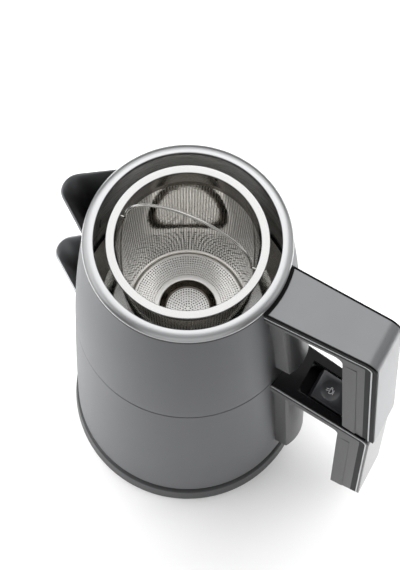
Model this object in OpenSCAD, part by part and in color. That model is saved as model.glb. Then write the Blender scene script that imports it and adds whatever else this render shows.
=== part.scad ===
// Two-tier automatic tea maker: a power base, an electric kettle, a teapot that nests on it
// and a perforated tea basket with a wire bail. The spouts point to -X and the handles to +X.
// The origin lies on the vessels' axis, level with the undersides of the rubber feet.

/* [Power base] */
// Radius of the base at its lower edge
base_r = 83.7; // [82:0.1:90]
// Height of the base's deck above the table
base_h = 16.5; // [15:0.5:22]
// Draft of the base's side, from the lower edge to the deck
base_draft = 1.2; // [0.4:0.1:2]
// Rounding between the base's side and its deck
base_round = 3; // [1:0.5:4]
// Wall of the base's moulded cover
base_wall = 2.4; // [2:0.1:3]
// Height of the rubber feet below the base
foot_h = 1.5; // [1:0.1:2.5]
// Radius of a rubber foot
foot_r = 7; // [5:0.5:9]

/* [Coupler] */
// Radius of the plug that stands on the base
plug_r = 15; // [13:0.5:17]
// Height of the plug above the deck
plug_h = 9; // [7:0.5:10]
// Radius of the plug's centre pin
pin_r = 2.6; // [2:0.1:3.5]
// Height of the centre pin above the plug
pin_h = 2.4; // [1.5:0.1:3]
// Clearance between the plug and its socket
plug_gap = 0.4; // [0.35:0.05:0.8]
// Wall of the kettle's socket around the plug
socket_wall = 5.5; // [4:0.5:7]

/* [Kettle] */
// Dark gap between the base's deck and the kettle's steel shell
base_gap = 3.5; // [2.5:0.5:5]
// Height of the kettle's shell
kettle_h = 165.5; // [155:0.5:180]
// Radius of the shell at its lower edge
kettle_bottom_r = 80.7; // [79:0.1:82]
// Radius of the shell at its upper edge
kettle_top_r = 72; // [71:0.1:74]
// Fullness of the kettle's side against a straight cone
kettle_bulge = 0.5; // [0:0.1:2]
// Height of the vessel's floor above the shell's lower edge
heater_lift = 14; // [13:0.5:20]
// Thickness of the heater plate
heater_t = 2; // [1.5:0.1:3]
// Diameter of the heater element's tube
element_d = 6; // [5:0.5:7]
// Radius of the kettle's mouth, which takes the teapot's foot
mouth_r = 62; // [60.5:0.5:64]

/* [Walls] */
// Thickness of the outer steel shells
skin_t = 1; // [0.8:0.1:1.3]
// Gap between an outer shell and its liner
wall_gap = 0.6; // [0.4:0.1:0.9]
// Thickness of the steel liners
liner_t = 1; // [0.8:0.1:1.2]

/* [Teapot] */
// Gap at the seam between the kettle's shell and the teapot's shell
seam_gap = 1.4; // [1.2:0.1:2.2]
// Height from the teapot's lower edge to the top of its rim
pot_h = 122.1; // [120:0.5:130]
// Radius of the teapot's shell at its lower edge
pot_bottom_r = 72; // [71:0.1:74]
// Radius of the teapot's shell, carried up to the height of the rim
pot_top_r = 59.8; // [59.3:0.1:60.2]
// Fullness of the teapot's side against a straight cone
pot_bulge = 1.3; // [0.5:0.1:2]
// Radius of the rim's inner edge
rim_inner_r = 54; // [53.6:0.1:54.4]
// Width of the rim's top, from its inner edge to its shoulder
rim_flat = 3; // [2.6:0.1:3.4]
// Width of the rim's shoulder, and the fall of its curve to the skirt
rim_roll_r = 3.9; // [3.6:0.1:4.3]
// Width of the flat edge inside the rim's curve
rim_land = 0.9; // [0.7:0.1:1.5]
// Depth of the lip inside the rim
rim_lip = 2.5; // [1.5:0.1:3.5]
// Height of the liner's lower corner above the seam
corner_rise = 20.7; // [18:0.1:24]
// Height of the pan's inner edge above the seam
step_rise = 9.1; // [6:0.1:12]
// Radius of the pan's inner edge
step_r = 55.4; // [54:0.1:56.4]
// Depth of the teapot's floor below the seam
floor_sink = 3.9; // [3:0.1:5]
// Radius of the teapot's floor
floor_r = 49.5; // [47:0.1:51]
// Clearance of the teapot's foot in the kettle's mouth
foot_gap = 0.5; // [0.35:0.05:1]
// Depth of the teapot's foot below the seam
nest_h = 10; // [7:0.5:14]

/* [Spouts] */
// Reach of the teapot's spout from the axis
pot_spout_reach = 83; // [80:0.5:88]
// Depth of the teapot's spout lip below the rim
pot_spout_drop = 10; // [8:0.5:13]
// Height of the teapot's spout from its keel's foot to its lip
pot_spout_h = 62; // [50:1:75]
// Reach of the kettle's spout from the axis
kettle_spout_reach = 97.3; // [92:0.5:101]
// Depth of the kettle's spout lip below the edge of its shell
kettle_spout_drop = 0.8; // [0.5:0.1:3]
// Height of the kettle's spout from its keel's foot to its lip
kettle_spout_h = 70; // [55:1:85]
// Half of the angle between a spout's sides, seen from above
spout_angle = 34; // [30:0.5:37]
// Radius of a spout's rounded tip, seen from above
spout_tip_r = 11; // [9:0.5:13]
// Thickness of a spout's sheet
spout_t = 1.2; // [1:0.1:1.6]

/* [Handles] */
// Half of a handle's width where it meets the body
handle_half_w = 17; // [16:0.5:18]
// How much a handle's half width shrinks for each millimetre of reach
handle_taper = 0.026; // [0.016:0.002:0.036]
// Height of the teapot's handle plate below the rim
plate_drop = 6; // [5.5:0.5:9]
// Thickness of the teapot's handle arm
arm_t = 11; // [10:0.5:13]
// Thickness of a grip, from the fingers to the palm
grip_t = 22; // [20:0.5:25]
// Reach of the teapot's grip at its finger side, under the arm
grip_reach = 108.8; // [106:0.2:113]
// Outer rounding between an arm and its grip
corner_r = 9; // [8:0.5:10]
// Rounding inside the corner of a handle
finger_fillet = 7; // [5:0.5:9]
// Outward lean of the teapot's grip
pot_lean = 5.7; // [4.5:0.1:6.5]
// Outward lean of the kettle's grip
kettle_lean = 3; // [2:0.1:4]
// Slope of the kettle's handle arm
arm_slope = 18; // [16:0.5:19]
// Depth of the kettle's arm below the edge of the shell, beside the body
kettle_arm_drop = 2.5; // [2:0.5:4]
// Thickness of the kettle's handle arm at its sides
kettle_arm_t = 12; // [11:0.5:14]
// Depth of a bracket's flat side along the body
bracket_depth = 6.5; // [5.5:0.5:8]
// Crown of a bracket's face towards the fingers
bracket_crown = 5; // [3:0.5:6]
// Half of a bracket's width
bracket_half_w = 15; // [13:0.5:15.5]
// Height of the teapot's bracket foot above the seam
bracket_lift = 20; // [14:1:28]

/* [Brew key] */
// Half of the key's width
key_half_w = 9.9; // [8.5:0.1:10.4]
// Length of the key
key_l = 25.3; // [22:0.1:26]
// Rounding of the key's corners
key_round = 2.4; // [1.5:0.1:3.5]
// Distance of the key from the body, along the arm
key_start = 23.7; // [22.5:0.1:24.5]
// Radius of the round dish in the key
dish_r = 6.7; // [5.5:0.1:7.5]
// Travel of the key
key_travel = 2.5; // [1.5:0.1:2.8]
// Clearance beside the key
key_gap = 0.5; // [0.35:0.05:0.8]

/* [Basket] */
// Outer radius of the basket's flange
flange_r = 47.1; // [46.6:0.1:48]
// Inner radius of the basket's collar
collar_r = 42.1; // [42:0.1:42.6]
// Depth of the flange below the rim
flange_drop = 1.7; // [1:0.1:2]
// Thickness of the flange and the collar
flange_t = 1.2; // [1:0.1:1.3]
// Height of the plain collar below the flange
collar_h = 12.5; // [11:0.5:14]
// Thickness of the perforated wall
mesh_t = 0.8; // [0.6:0.1:1]
// Inner radius of the basket's wall at its floor
basket_floor_r = 36.7; // [35.5:0.1:38]
// Height of the basket's floor above the teapot's floor
basket_floor_rise = 8.4; // [8:0.1:12]
// Radius of the mouth of the floor's well
well_r = 19.2; // [18:0.1:19.8]
// Radius of the well's disc
well_disc_r = 14.2; // [13.4:0.1:15]
// Depth of the well
well_depth = 3.6; // [2.8:0.1:3.8]
// Diameter of a hole in the basket's wall
wall_hole_d = 2.4; // [2:0.1:3]
// Holes in each ring of the basket's wall
wall_holes = 28; // [24:1:36]
// Rings of holes in the basket's wall
wall_rings = 12; // [8:1:13]
// Diameter of a hole in the basket's floor
floor_hole_d = 1.6; // [1.2:0.1:1.8]

/* [Bail] */
// Radius of the bail's arch, to the wire's middle
bail_r = 38.6; // [38:0.1:38.9]
// Height of the bail's arch above its pivots, to the wire's middle
bail_rise = 40.8; // [40.5:0.05:40.85]
// Diameter of the bail's wire
wire_d = 1.7; // [1.4:0.1:1.7]
// Depth of the bail's pivots below the rim
pivot_drop = 4.4; // [4.4:0.1:6]
// Turn of the bail's pivots from the handle
bail_turn = 6; // [-15:1:15]
// Radial clearance of the wire in its holes
pivot_gap = 0.1; // [0.05:0.01:0.2]

/* [Water path] */
// Outer radius of the riser tube
riser_r = 6; // [5.5:0.5:7]
// Wall of the riser tube
riser_t = 1; // [0.8:0.1:1.2]
// Radius of the riser's bell foot
bell_r = 16; // [13:0.5:20]
// Gap under the riser's bell foot
bell_gap = 4; // [3:0.5:7]
// Radius of the inlet valve's flange
valve_flange_r = 12; // [11:0.5:13]
// Travel of the valve's disc
valve_travel = 1.5; // [1:0.1:1.7]

/* [Hidden] */

$fn = 96;
// Overrun of every cut past the face that it opens
cut = 1;
// Gap at rest between two bodies where one stands on the other
rest_gap = 0.3;
// Gap between pieces that slip into each other when they are put together
slip = 0.05;
// Rounding of a sheet's edge
edge_r = 0.6;

// Heights above the table
kettle_z0 = base_h + base_gap;
kettle_z1 = kettle_z0 + kettle_h;
pot_z0 = kettle_z1 + seam_gap;
pot_z1 = pot_z0 + pot_h;

// Depths of a liner's outer and inner faces within a vessel's skin
liner_in = skin_t + wall_gap;
vessel_in = liner_in + liner_t;

// Steps of a curved side over its height
side_steps = 12;

// Outer radius of a vessel at a height
function skin_r(z, z0, h, r0, r1, bulge) =
    let (t = (z - z0) / h) r0 + (r1 - r0) * t + 4 * bulge * t * (1 - t);
kettle_skin = function (z) skin_r(z, kettle_z0, kettle_h, kettle_bottom_r, kettle_top_r, kettle_bulge);
pot_skin = function (z) skin_r(z, pot_z0, pot_h, pot_bottom_r, pot_top_r, pot_bulge);

// Points of a curved side between two heights, set in from the skin
function side(skin, z0, z1, inset) =
    [for (i = [0 : side_steps]) let (z = z0 + (z1 - z0) * i / side_steps) [skin(z) - inset, z]];

// An arc of points about a centre
function arc(c, r, a0, a1, n = 8) =
    [for (i = [0 : n]) let (a = a0 + (a1 - a0) * i / n) c + r * [cos(a), sin(a)]];

// The arc that rounds a corner p between two edges that leave it along d1 and d2, set to the left by d
function turn_at(p, d1, d2, r, d = 0) =
    let (
        half = acos(d1 * d2) / 2,
        c = p + (d1 + d2) / norm(d1 + d2) * r / sin(half),
        v1 = p + d1 * r / tan(half) - c,
        v2 = p + d2 * r / tan(half) - c,
        a1 = atan2(v1[1], v1[0]),
        turn = atan2(v1[0] * v2[1] - v1[1] * v2[0], v1 * v2)
    )
    arc(c, r - sign(turn) * d, a1, a1 + turn);

// The inner corners of a sheet's line, each rounded by r, set to the left by d
function sheet_turns(points, r, d = 0) = [for (i = [1 : len(points) - 2])
    let (
        before = points[i - 1] - points[i],
        after = points[i + 1] - points[i]
    )
    each turn_at(points[i], before / norm(before), after / norm(after), r, d)];

// A wall that follows a vessel's side
module side_wall(skin, z0, z1, inset, t) {
    rotate_extrude() polygon(concat(side(skin, z0, z1, inset), side(skin, z1, z0, inset + t)));
}

// Everything within a vessel's outer skin, and straight on above it
module core(skin, z0, z1) {
    rotate_extrude() polygon(concat([[0, z0]], side(skin, z0, z1, 0), [[skin(z1), z1 + corner_r], [0, z1 + corner_r]]));
}

module ring(r_out, r_in, z0, z1) {
    rotate_extrude() polygon([[r_in, z0], [r_out, z0], [r_out, z1], [r_in, z1]]);
}

module around(count, r, start = 0) {
    for (i = [0 : count - 1]) rotate(start + 360 * i / count) translate([r, 0, 0]) children();
}

// Plan of a slot with round ends, along Y
module slot_plan(l, w) {
    square([w, l - w], center = true);
    for (s = [-1, 1]) translate([0, s * (l - w) / 2]) circle(d = w);
}

// Plan of a rectangle with round corners, from x0 to x1 and half_w to each side of the X axis
module rounded_plan(x0, x1, half_w, r) {
    translate([x0 + r, -half_w]) square([x1 - x0 - 2 * r, 2 * half_w]);
    translate([x0, r - half_w]) square([x1 - x0, 2 * (half_w - r)]);
    for (x = [x0 + r, x1 - r], y = [r - half_w, half_w - r]) translate([x, y]) circle(r);
}

// Power base

foot_inset = 1;
foot_circle_r = base_r - 2 * foot_r;
base_plate_t = 2.4;
plate_top = foot_h + base_plate_t;
deck_under = base_h - base_wall;
boss_r = 4;
screw_circle_share = 0.55;
screw_circle_r = base_r * screw_circle_share;
screw_r = 1.5;
screw_l = 9;
screw_head_r = 2.9;
screw_head_h = 1.6;
head_gap = 0.2;
recess_depth = 0.7;
rib_t = 2;
rib_h = 4;
track_inset = 7;
track_r = kettle_bottom_r - track_inset;
track_depth = 1;
track_w = 7;
hub_neck_r = plug_r + socket_wall / 2;
hub_border = 4;
hub_flange_r = hub_neck_r + hub_border;
hub_flange_t = 2;
hub_core_r = plug_r;
contact_groove_w = 1.6;
contact_groove_h = 5;
contact_shares = [0.45, 0.78];
plug_round = 0.8;
cord_hole_r = 3;
grommet_r = 3.8;
grommet_rim = 1;
grommet_l = 7;
grommet_z = (plate_top + deck_under) / 2;

module base_cover() color("#3a3b3d") difference() {
    union() {
        rotate_extrude() polygon(concat(
            [[0, deck_under], [base_r - base_draft - base_wall, deck_under], [base_r - base_wall, foot_h],
             [base_r, foot_h]],
            arc([base_r - base_draft - base_round, base_h - base_round], base_round, 0, 90),
            [[0, base_h]]));
        around(4, screw_circle_r, 45) translate([0, 0, plate_top]) cylinder(r = boss_r, h = deck_under - plate_top);
    }
    ring(track_r + track_w / 2, track_r - track_w / 2, base_h - track_depth, base_h + cut);
    translate([0, 0, deck_under - cut]) cylinder(r = hub_neck_r, h = base_wall + 2 * cut);
    around(4, screw_circle_r, 45) translate([0, 0, foot_h]) cylinder(r = screw_r, h = screw_l);
    rotate(90) translate([base_r - base_draft - base_wall - cut, 0, grommet_z]) rotate([0, 90, 0])
        cylinder(r = grommet_r, h = base_wall + base_draft + 2 * cut);
}

module base_plate() color("#26272a") difference() {
    union() {
        translate([0, 0, foot_h]) cylinder(r = base_r - base_wall - base_draft / 2, h = base_plate_t);
        for (a = [0 : 60 : 120]) rotate(a) translate([0, 0, plate_top + rib_h / 2]) difference() {
            cube([2 * foot_circle_r, rib_t, rib_h], center = true);
            cylinder(r = hub_flange_r, h = rib_h + 2 * cut, center = true);
        }
    }
    around(4, screw_circle_r, 45) translate([0, 0, foot_h - cut]) {
        cylinder(r = screw_r, h = base_plate_t + 2 * cut);
        cylinder(r = screw_head_r + head_gap, h = cut + screw_head_h);
    }
    around(4, foot_circle_r) translate([0, 0, foot_h - cut]) cylinder(r = foot_r, h = cut + foot_inset);
    translate([0, 0, foot_h - cut]) cylinder(r = foot_r, h = cut + foot_inset);
}

// A round rubber foot with a turned edge
module foot() {
    rotate_extrude() polygon([[0, 0], [foot_r - edge_r, 0], [foot_r, edge_r], [foot_r, foot_h + foot_inset],
        [0, foot_h + foot_inset]]);
}

// Four feet near the edge and one under the coupler
module base_feet() color("#1b1b1c") {
    around(4, foot_circle_r) foot();
    foot();
}

// A screw with a crossed recess, head down at z = 0
module screw(l) difference() {
    union() {
        cylinder(r = screw_head_r, h = screw_head_h);
        cylinder(r = screw_r, h = l);
    }
    translate([0, 0, -cut]) linear_extrude(cut + recess_depth)
        for (a = [0, 90]) rotate(a) square([screw_head_r, recess_depth], center = true);
}

module base_screws() color("#8d9094") around(4, screw_circle_r, 45) translate([0, 0, foot_h]) screw(screw_l);

module base_socket() color("#1d1e20") difference() {
    union() {
        rotate_extrude() polygon(concat(
            [[0, deck_under - hub_flange_t], [hub_flange_r, deck_under - hub_flange_t], [hub_flange_r, deck_under],
             [hub_neck_r, deck_under], [hub_neck_r, base_h], [plug_r, base_h]],
            arc([plug_r - plug_round, base_h + plug_h - plug_round], plug_round, 0, 90),
            [[0, base_h + plug_h]]));
        translate([0, 0, plate_top]) cylinder(r = hub_core_r, h = deck_under - plate_top);
        translate([0, 0, base_h]) cylinder(r = pin_r, h = plug_h + pin_h);
    }
    for (share = contact_shares) ring(plug_r * share + contact_groove_w / 2, plug_r * share - contact_groove_w / 2,
        base_h + plug_h - contact_groove_h, base_h + plug_h + cut);
}

// The bush for the mains lead, on the side away from the spouts' left
module cord_grommet() color("#18181a") rotate(90) translate([base_r - base_draft, 0, grommet_z]) rotate([0, 90, 0])
    difference() {
        union() {
            translate([0, 0, -grommet_l]) cylinder(r = grommet_r, h = grommet_l);
            translate([0, 0, -grommet_l]) cylinder(r = grommet_r + grommet_rim, h = base_wall);
            cylinder(r1 = grommet_r, r2 = cord_hole_r + grommet_rim / 2, h = 2 * grommet_rim);
        }
        translate([0, 0, -grommet_l - cut]) cylinder(r = cord_hole_r, h = grommet_l + 2 * (grommet_rim + cut));
    }

// Kettle

mouth_ring_h = 5.5;
mouth_ring_z = kettle_z1 - mouth_ring_h;
heater_z = kettle_z0 + heater_lift;
heater_under = heater_z - heater_t;
socket_z = base_h + rest_gap;
socket_r = plug_r + plug_gap + socket_wall;
bottom_cover_t = 2.4;
bottom_cover_z = kettle_z0 + edge_r;
bottom_cover_top = bottom_cover_z + bottom_cover_t;
cover_lip_h = 4;
cover_lip_t = 2;
socket_border = 3;
element_circle_share = 0.62;
element_circle_r = kettle_bottom_r * element_circle_share;
element_open_angle = 40;
element_end_share = 0.6;
sensor_x = 32;
sensor_r = 6;
sensor_h = 5;
sensor_flange = 1.5;
blade_w = 4;
blade_t = 0.8;
blade_l = 2.5;

module kettle_shell() color("#8b8d90") difference() {
    side_wall(kettle_skin, kettle_z0, kettle_z1, 0, skin_t);
    port(kettle_port_top, kettle_port_h, kettle_port_w, kettle_top_r);
}

module kettle_liner() color("#b9bbbd") difference() {
    side_wall(kettle_skin, heater_under, mouth_ring_z, liner_in, liner_t);
    strainer(kettle_port_top, kettle_port_h, kettle_port_w, kettle_top_r);
}

module kettle_top_ring() color("#1f2022") rotate_extrude() polygon([
    [mouth_r, mouth_ring_z], [kettle_skin(mouth_ring_z) - skin_t - slip, mouth_ring_z],
    [kettle_skin(kettle_z1) - skin_t - slip, kettle_z1], [mouth_r + edge_r, kettle_z1], [mouth_r, kettle_z1 - edge_r]]);

module heater_plate() color("#a9abad") translate([0, 0, heater_under])
    cylinder(r = kettle_skin(heater_z) - vessel_in - slip, h = heater_t);

module heater_element() color("#6e7073") translate([0, 0, heater_under - element_d / 2]) {
    rotate(element_open_angle / 2) rotate_extrude(angle = 360 - element_open_angle)
        translate([element_circle_r, 0]) circle(d = element_d, $fn = 32);
    for (s = [-1, 1]) rotate(s * element_open_angle / 2) translate([element_circle_r, 0, 0]) rotate([s * 90, 0, 0])
        translate([0, 0, -element_d / 2]) cylinder(d = element_d * element_end_share, h = element_d * 2);
}

module kettle_connector() color("#1d1e20") difference() {
    union() {
        translate([0, 0, socket_z]) cylinder(r = socket_r, h = heater_under - socket_z);
        translate([0, 0, bottom_cover_top]) cylinder(r = socket_r + socket_border, h = hub_flange_t);
    }
    translate([0, 0, socket_z - cut]) cylinder(r = plug_r + plug_gap, h = cut + plug_h + plug_gap);
    translate([0, 0, socket_z]) cylinder(r = pin_r + plug_gap, h = plug_h + pin_h + plug_gap);
}

module kettle_bottom_cover() color("#232427") {
    lip_z = bottom_cover_top + cover_lip_h;
    edge = skin_t + slip;
    rotate_extrude() polygon([
        [socket_r, bottom_cover_z], [kettle_skin(bottom_cover_z) - edge, bottom_cover_z],
        [kettle_skin(lip_z) - edge, lip_z], [kettle_skin(lip_z) - edge - cover_lip_t, lip_z],
        [kettle_skin(bottom_cover_top) - edge - cover_lip_t, bottom_cover_top], [socket_r, bottom_cover_top]]);
    ring(track_r + track_w / 2 - plug_gap, track_r - track_w / 2 + plug_gap,
        base_h - track_depth + rest_gap, bottom_cover_z);
}

module temperature_sensor() color("#3f4144") translate([-sensor_x, 0, heater_under]) {
    translate([0, 0, -sensor_h]) cylinder(r = sensor_r, h = sensor_h);
    translate([0, 0, -sensor_flange]) cylinder(r = sensor_r + sensor_flange, h = sensor_flange);
    for (s = [-1, 1]) translate([0, s * sensor_r / 2, -sensor_h])
        cube([blade_w, blade_t, 2 * blade_l], center = true);
}

// Spouts

beak_steps = 14;
keel_steps = 5;
keel_power = 1.15;
tip_fall_share = 0.35;
root_share = 0.7;
port_depth = 24;
port_corner = 4;
strainer_slots = 7;
strainer_slot_w = 2.6;
strainer_spread_share = 0.85;
port_shade = 1.5;
pot_port_h = 12;
pot_port_w = 34;
pot_port_top = pot_z1 - pot_spout_drop - port_shade;
kettle_port_h = 26;
kettle_port_w = 40;
kettle_port_top = mouth_ring_z - port_shade;
pot_lip_fall = 0.09;
kettle_lip_fall = 0.25;

// Plan of a spout: two straight sides that meet in a round tip
function beak(reach, tip_r, back) =
    let (half_w = (reach - tip_r - back) * tan(spout_angle) + tip_r / cos(spout_angle))
    concat([[-back, half_w]], arc([tip_r - reach, 0], tip_r, 90 + spout_angle, 270 - spout_angle, beak_steps),
        [[-back, -half_w]]);

// Faces of a closed solid through stacked rings of points, from the top down
function loft_faces(points, rings) = concat(
    [[for (i = [points - 1 : -1 : 0]) i]],
    [for (k = [0 : rings - 2], i = [0 : points - 1]) let (j = (i + 1) % points)
        [k * points + i, k * points + j, (k + 1) * points + j, (k + 1) * points + i]],
    [[for (i = [0 : points - 1]) (rings - 1) * points + i]]);

// The solid within a spout: a plane lip that falls away from the body, and a keel that runs into its side
module beak_body(skin, lip_z, reach, h, fall, inset, rise) {
    lip_r = skin(lip_z);
    back = lip_r * root_share;
    rings = [for (k = [0 : keel_steps]) let (
            s = k / keel_steps,
            z = lip_z - h * s,
            overhang = (reach - lip_r) * pow(1 - s, keel_power),
            tip_r = spout_tip_r * (1 - tip_fall_share * s)
        )
        [for (p = beak(skin(z) + overhang - inset, tip_r - inset, back))
            [p[0], p[1], z + (k == 0 ? rise : 0) - fall * (1 - s) * (-p[0] - lip_r)]]];
    polyhedron(points = [for (r = rings) each r], faces = loft_faces(beak_steps + 3, keel_steps + 1));
}

// A sheet spout that is open on top and stands on a body's side
module spout(skin, z0, z1, lip_z, reach, h, fall) difference() {
    beak_body(skin, lip_z, reach, h, fall, 0, 0);
    beak_body(skin, lip_z, reach, h, fall, spout_t, cut);
    core(skin, z0, z1);
}

// A window with round corners through the wall on the spout's side
module port(z_top, h, w, r) {
    translate([-r, 0, z_top - h / 2]) rotate([90, 0, -90]) linear_extrude(port_depth, center = true) {
        square([w, h - 2 * port_corner], center = true);
        square([w - 2 * port_corner, h], center = true);
        for (x = [-1, 1], y = [-1, 1])
            translate([x * (w / 2 - port_corner), y * (h / 2 - port_corner)]) circle(port_corner);
    }
}

// Upright slots in a row through the wall on the spout's side
module strainer(z_top, h, w, r) {
    for (i = [0 : strainer_slots - 1]) {
        y = w * strainer_spread_share * (i / (strainer_slots - 1) - 0.5);
        translate([-r, y, z_top - h / 2]) rotate([90, 0, -90])
            linear_extrude(port_depth, center = true) slot_plan(h, strainer_slot_w);
    }
}

module kettle_spout() color("#7c7e81") spout(kettle_skin, kettle_z0, kettle_z1, kettle_z1 - kettle_spout_drop,
    kettle_spout_reach, kettle_spout_h, kettle_lip_fall);

module teapot_spout() color("#7c7e81") spout(pot_skin, pot_z0, pot_z1, pot_z1 - pot_spout_drop,
    pot_spout_reach, pot_spout_h, pot_lip_fall);

// Handles

handle_span = 2 * (grip_reach + grip_t);
bezel_inset = 0.4;
cover_t = 1.2;
bezel_t = 3.4;
trim_t = 1.6;
trim_proud = 0.25;
cover_border = 1.3;
rim_clear = 1.8;
fascia_t = 1.6;
kettle_widen = 1;
insert_depth = 13;
grip_crown = 3;
grip_gap = 2.5;
grip_lift = 30;
bracket_narrow = 2;
kettle_bracket_lift = 22;
bracket_root_share = 0.5;
arm_screw_shares = [0.74, 0.9];
arm_screw_l = 5;
corner_steps = 10;
crown_steps = 14;
pot_body_lean = atan((pot_bottom_r - pot_top_r) / pot_h);
kettle_body_lean = atan((kettle_bottom_r - kettle_top_r) / kettle_h);

// Half of a handle's width at a reach x, for the width that it has at the seam
function half_w_at(half_w, x) = half_w - handle_taper * (x - kettle_top_r);

// How far inside a body's skin an arm has to start, so that its whole width meets the body
function root_x(r) = r - handle_half_w * handle_half_w / r;

// Centres of the teapot handle's outer corner and of the kettle handle's, in side view
pot_arm_z = pot_z1 - plate_drop;
pot_arm_under = pot_arm_z - arm_t;
pot_corner = let (
        z = pot_arm_z - corner_r,
        d = corner_r - grip_t,
        s = (z + d * sin(pot_lean) - pot_arm_under) / cos(pot_lean)
    )
    [grip_reach - d * cos(pot_lean) - s * sin(pot_lean), z];
arm_start = [kettle_top_r, kettle_z1 - kettle_arm_drop];
arm_up = [sin(arm_slope), cos(arm_slope)];
kettle_corner = let (
        x = pot_corner[0] + (pot_corner[1] - arm_start[1]) * tan(pot_lean),
        z = (arm_start * arm_up - corner_r - x * arm_up[0]) / arm_up[1]
    )
    [x, z];
pot_grip_drop = pot_corner[1] - arm_start[1] + grip_t + (pot_corner[0] - arm_start[0]) * tan(arm_slope);
kettle_grip_drop = (kettle_corner[1] - grip_lift) / cos(kettle_lean);

// The outer line of a handle in side view, set in by d: along the arm, round the corner and down the grip
function handle_line(c, slope, lean, drop, root, d) =
    let (
        up = [sin(slope), cos(slope)],
        along = [cos(slope), -sin(slope)],
        out = [cos(lean), sin(lean)],
        down = [sin(lean), -cos(lean)]
    )
    concat([c + (corner_r - d) * up - (c[0] - root) / cos(slope) * along],
        arc(c, corner_r - d, 90 - slope, lean, corner_steps),
        [c + (corner_r - d) * out + drop * down]);

// The inner line of a handle's frame in side view: up beside the finger half, round the fillet and along the arm
function frame_line(c, slope, lean, arm, drop, root) =
    let (
        up = [sin(slope), cos(slope)],
        along = [cos(slope), -sin(slope)],
        out = [cos(lean), sin(lean)],
        down = [sin(lean), -cos(lean)],
        split = c + (corner_r - insert_depth) * out,
        inner = c + (corner_r - grip_t) * out,
        under = c + (corner_r - arm) * up,
        s = ((inner - under) * up) / (down * up),
        corner = inner - s * down
    )
    concat([split + drop * down, split + insert_top(arm) * down, inner + insert_top(arm) * down],
        turn_at(corner, down, -along, finger_fillet),
        [under - (c[0] - root) / cos(slope) * along]);

function reversed(points) = [for (i = [len(points) - 1 : -1 : 0]) points[i]];

// A layer of a handle between two depths under its outer line, in side view
module handle_layer(c, slope, lean, drop, root, d0, d1) polygon(concat(
    handle_line(c, slope, lean, drop, root, d0), reversed(handle_line(c, slope, lean, drop, root, d1))));

// A handle's frame in side view, from depth d inwards, without the finger half of its grip
module handle_core(c, slope, lean, arm, drop, root, d) polygon(concat(
    handle_line(c, slope, lean, drop, root, d), frame_line(c, slope, lean, arm, drop, root)));

// Where the finger half of a grip begins, down from the corner's centre
function insert_top(arm) = arm - corner_r + finger_fillet;

// A side view drawn out to a handle's width, which narrows away from the body
module drawn_out(half_w) {
    w0 = half_w_at(half_w, 0);
    w1 = half_w_at(half_w, handle_span);
    intersection() {
        rotate([90, 0, 0]) linear_extrude(2 * w0, center = true) children();
        linear_extrude(2 * pot_z1, center = true) polygon([[0, -w0], [handle_span, -w1], [handle_span, w1], [0, w0]]);
    }
}

// Plan of a bar with a crowned face towards +X
function crowned(back, front, half_w, crown) =
    let (r = (half_w * half_w + crown * crown) / (2 * crown), a = asin(half_w / r))
    concat([[-back, -half_w]], arc([front + crown - r, 0], r, -a, a, crown_steps), [[-back, half_w]]);

// A leaning bar beside the body with a crowned face, from z1 down to z0
module bracket(x, z0, z1, lean, half_w) {
    l = (z1 - z0) / cos(lean) + bracket_depth;
    intersection() {
        translate([x, 0, z1]) rotate([0, -lean, 0]) translate([0, 0, -l]) linear_extrude(l + bracket_depth)
            polygon(crowned(bracket_depth, bracket_depth, half_w, bracket_crown));
        rotate([90, 0, 90]) linear_extrude(handle_span) polygon([
            [bracket_narrow - half_w, z0], [half_w - bracket_narrow, z0], [half_w, z1], [-half_w, z1]]);
    }
}

// The half of a grip that the fingers hold, with a crowned face
module grip_insert(c, lean, top, drop, half_w) {
    w = half_w_at(half_w, c[0] + corner_r - grip_t);
    crown_r = (w * w + grip_crown * grip_crown) / (2 * grip_crown);
    translate([c[0], 0, c[1]]) rotate([0, -lean, 0]) translate([corner_r - grip_t, 0, -drop]) linear_extrude(drop - top) {
        translate([0, -w]) square([grip_t - insert_depth, 2 * w]);
        intersection() {
            translate([crown_r - grip_crown, 0]) circle(crown_r);
            translate([-grip_crown - cut, -w]) square([grip_crown + 2 * cut, 2 * w]);
        }
    }
}

// Everything in side view below the line that the teapot's grip ends on, just above the kettle's arm
module below_grip() translate(arm_start) rotate(-arm_slope) translate([-handle_span, grip_gap - handle_span])
    square([2 * handle_span, handle_span]);

module pot_layer(d0, d1, half_w) difference() {
    drawn_out(half_w) difference() {
        handle_layer(pot_corner, 0, pot_lean, pot_grip_drop, root_x(pot_top_r), d0, d1);
        below_grip();
    }
    core(pot_skin, pot_z0, pot_z1);
}

module teapot_handle_frame() color("#232426") difference() {
    union() {
        drawn_out(handle_half_w) difference() {
            handle_core(pot_corner, 0, pot_lean, arm_t, pot_grip_drop, root_x(pot_top_r), bezel_t + trim_t);
            below_grip();
        }
        bracket(pot_skin(pot_arm_under), pot_z0 + bracket_lift, pot_arm_under + arm_t * bracket_root_share,
            pot_body_lean, bracket_half_w);
    }
    core(pot_skin, pot_z0, pot_z1);
    for (share = arm_screw_shares) translate([grip_reach * share, 0, pot_arm_under - cut]) {
        cylinder(r = screw_r, h = cut + arm_screw_l);
        cylinder(r = screw_head_r + head_gap, h = cut + screw_head_h);
    }
}

module teapot_handle_grip() color("#1c1d1f") difference() {
    grip_insert(pot_corner, pot_lean, insert_top(arm_t), pot_grip_drop, handle_half_w);
    rotate([90, 0, 0]) linear_extrude(handle_span, center = true) below_grip();
}

// The plate's side view with its border kept free
module cover_body(grow) difference() {
    pot_layer(0, cover_t, handle_half_w - cover_border + grow);
    translate([0, 0, pot_z0]) cylinder(r = rim_r_out + rim_clear - grow, h = pot_h);
}

module teapot_handle_cover() color("#97989a") cover_body(0);

module teapot_handle_bezel() color("#141415") difference() {
    pot_layer(bezel_inset, bezel_t, handle_half_w);
    cover_body(0);
}

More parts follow.
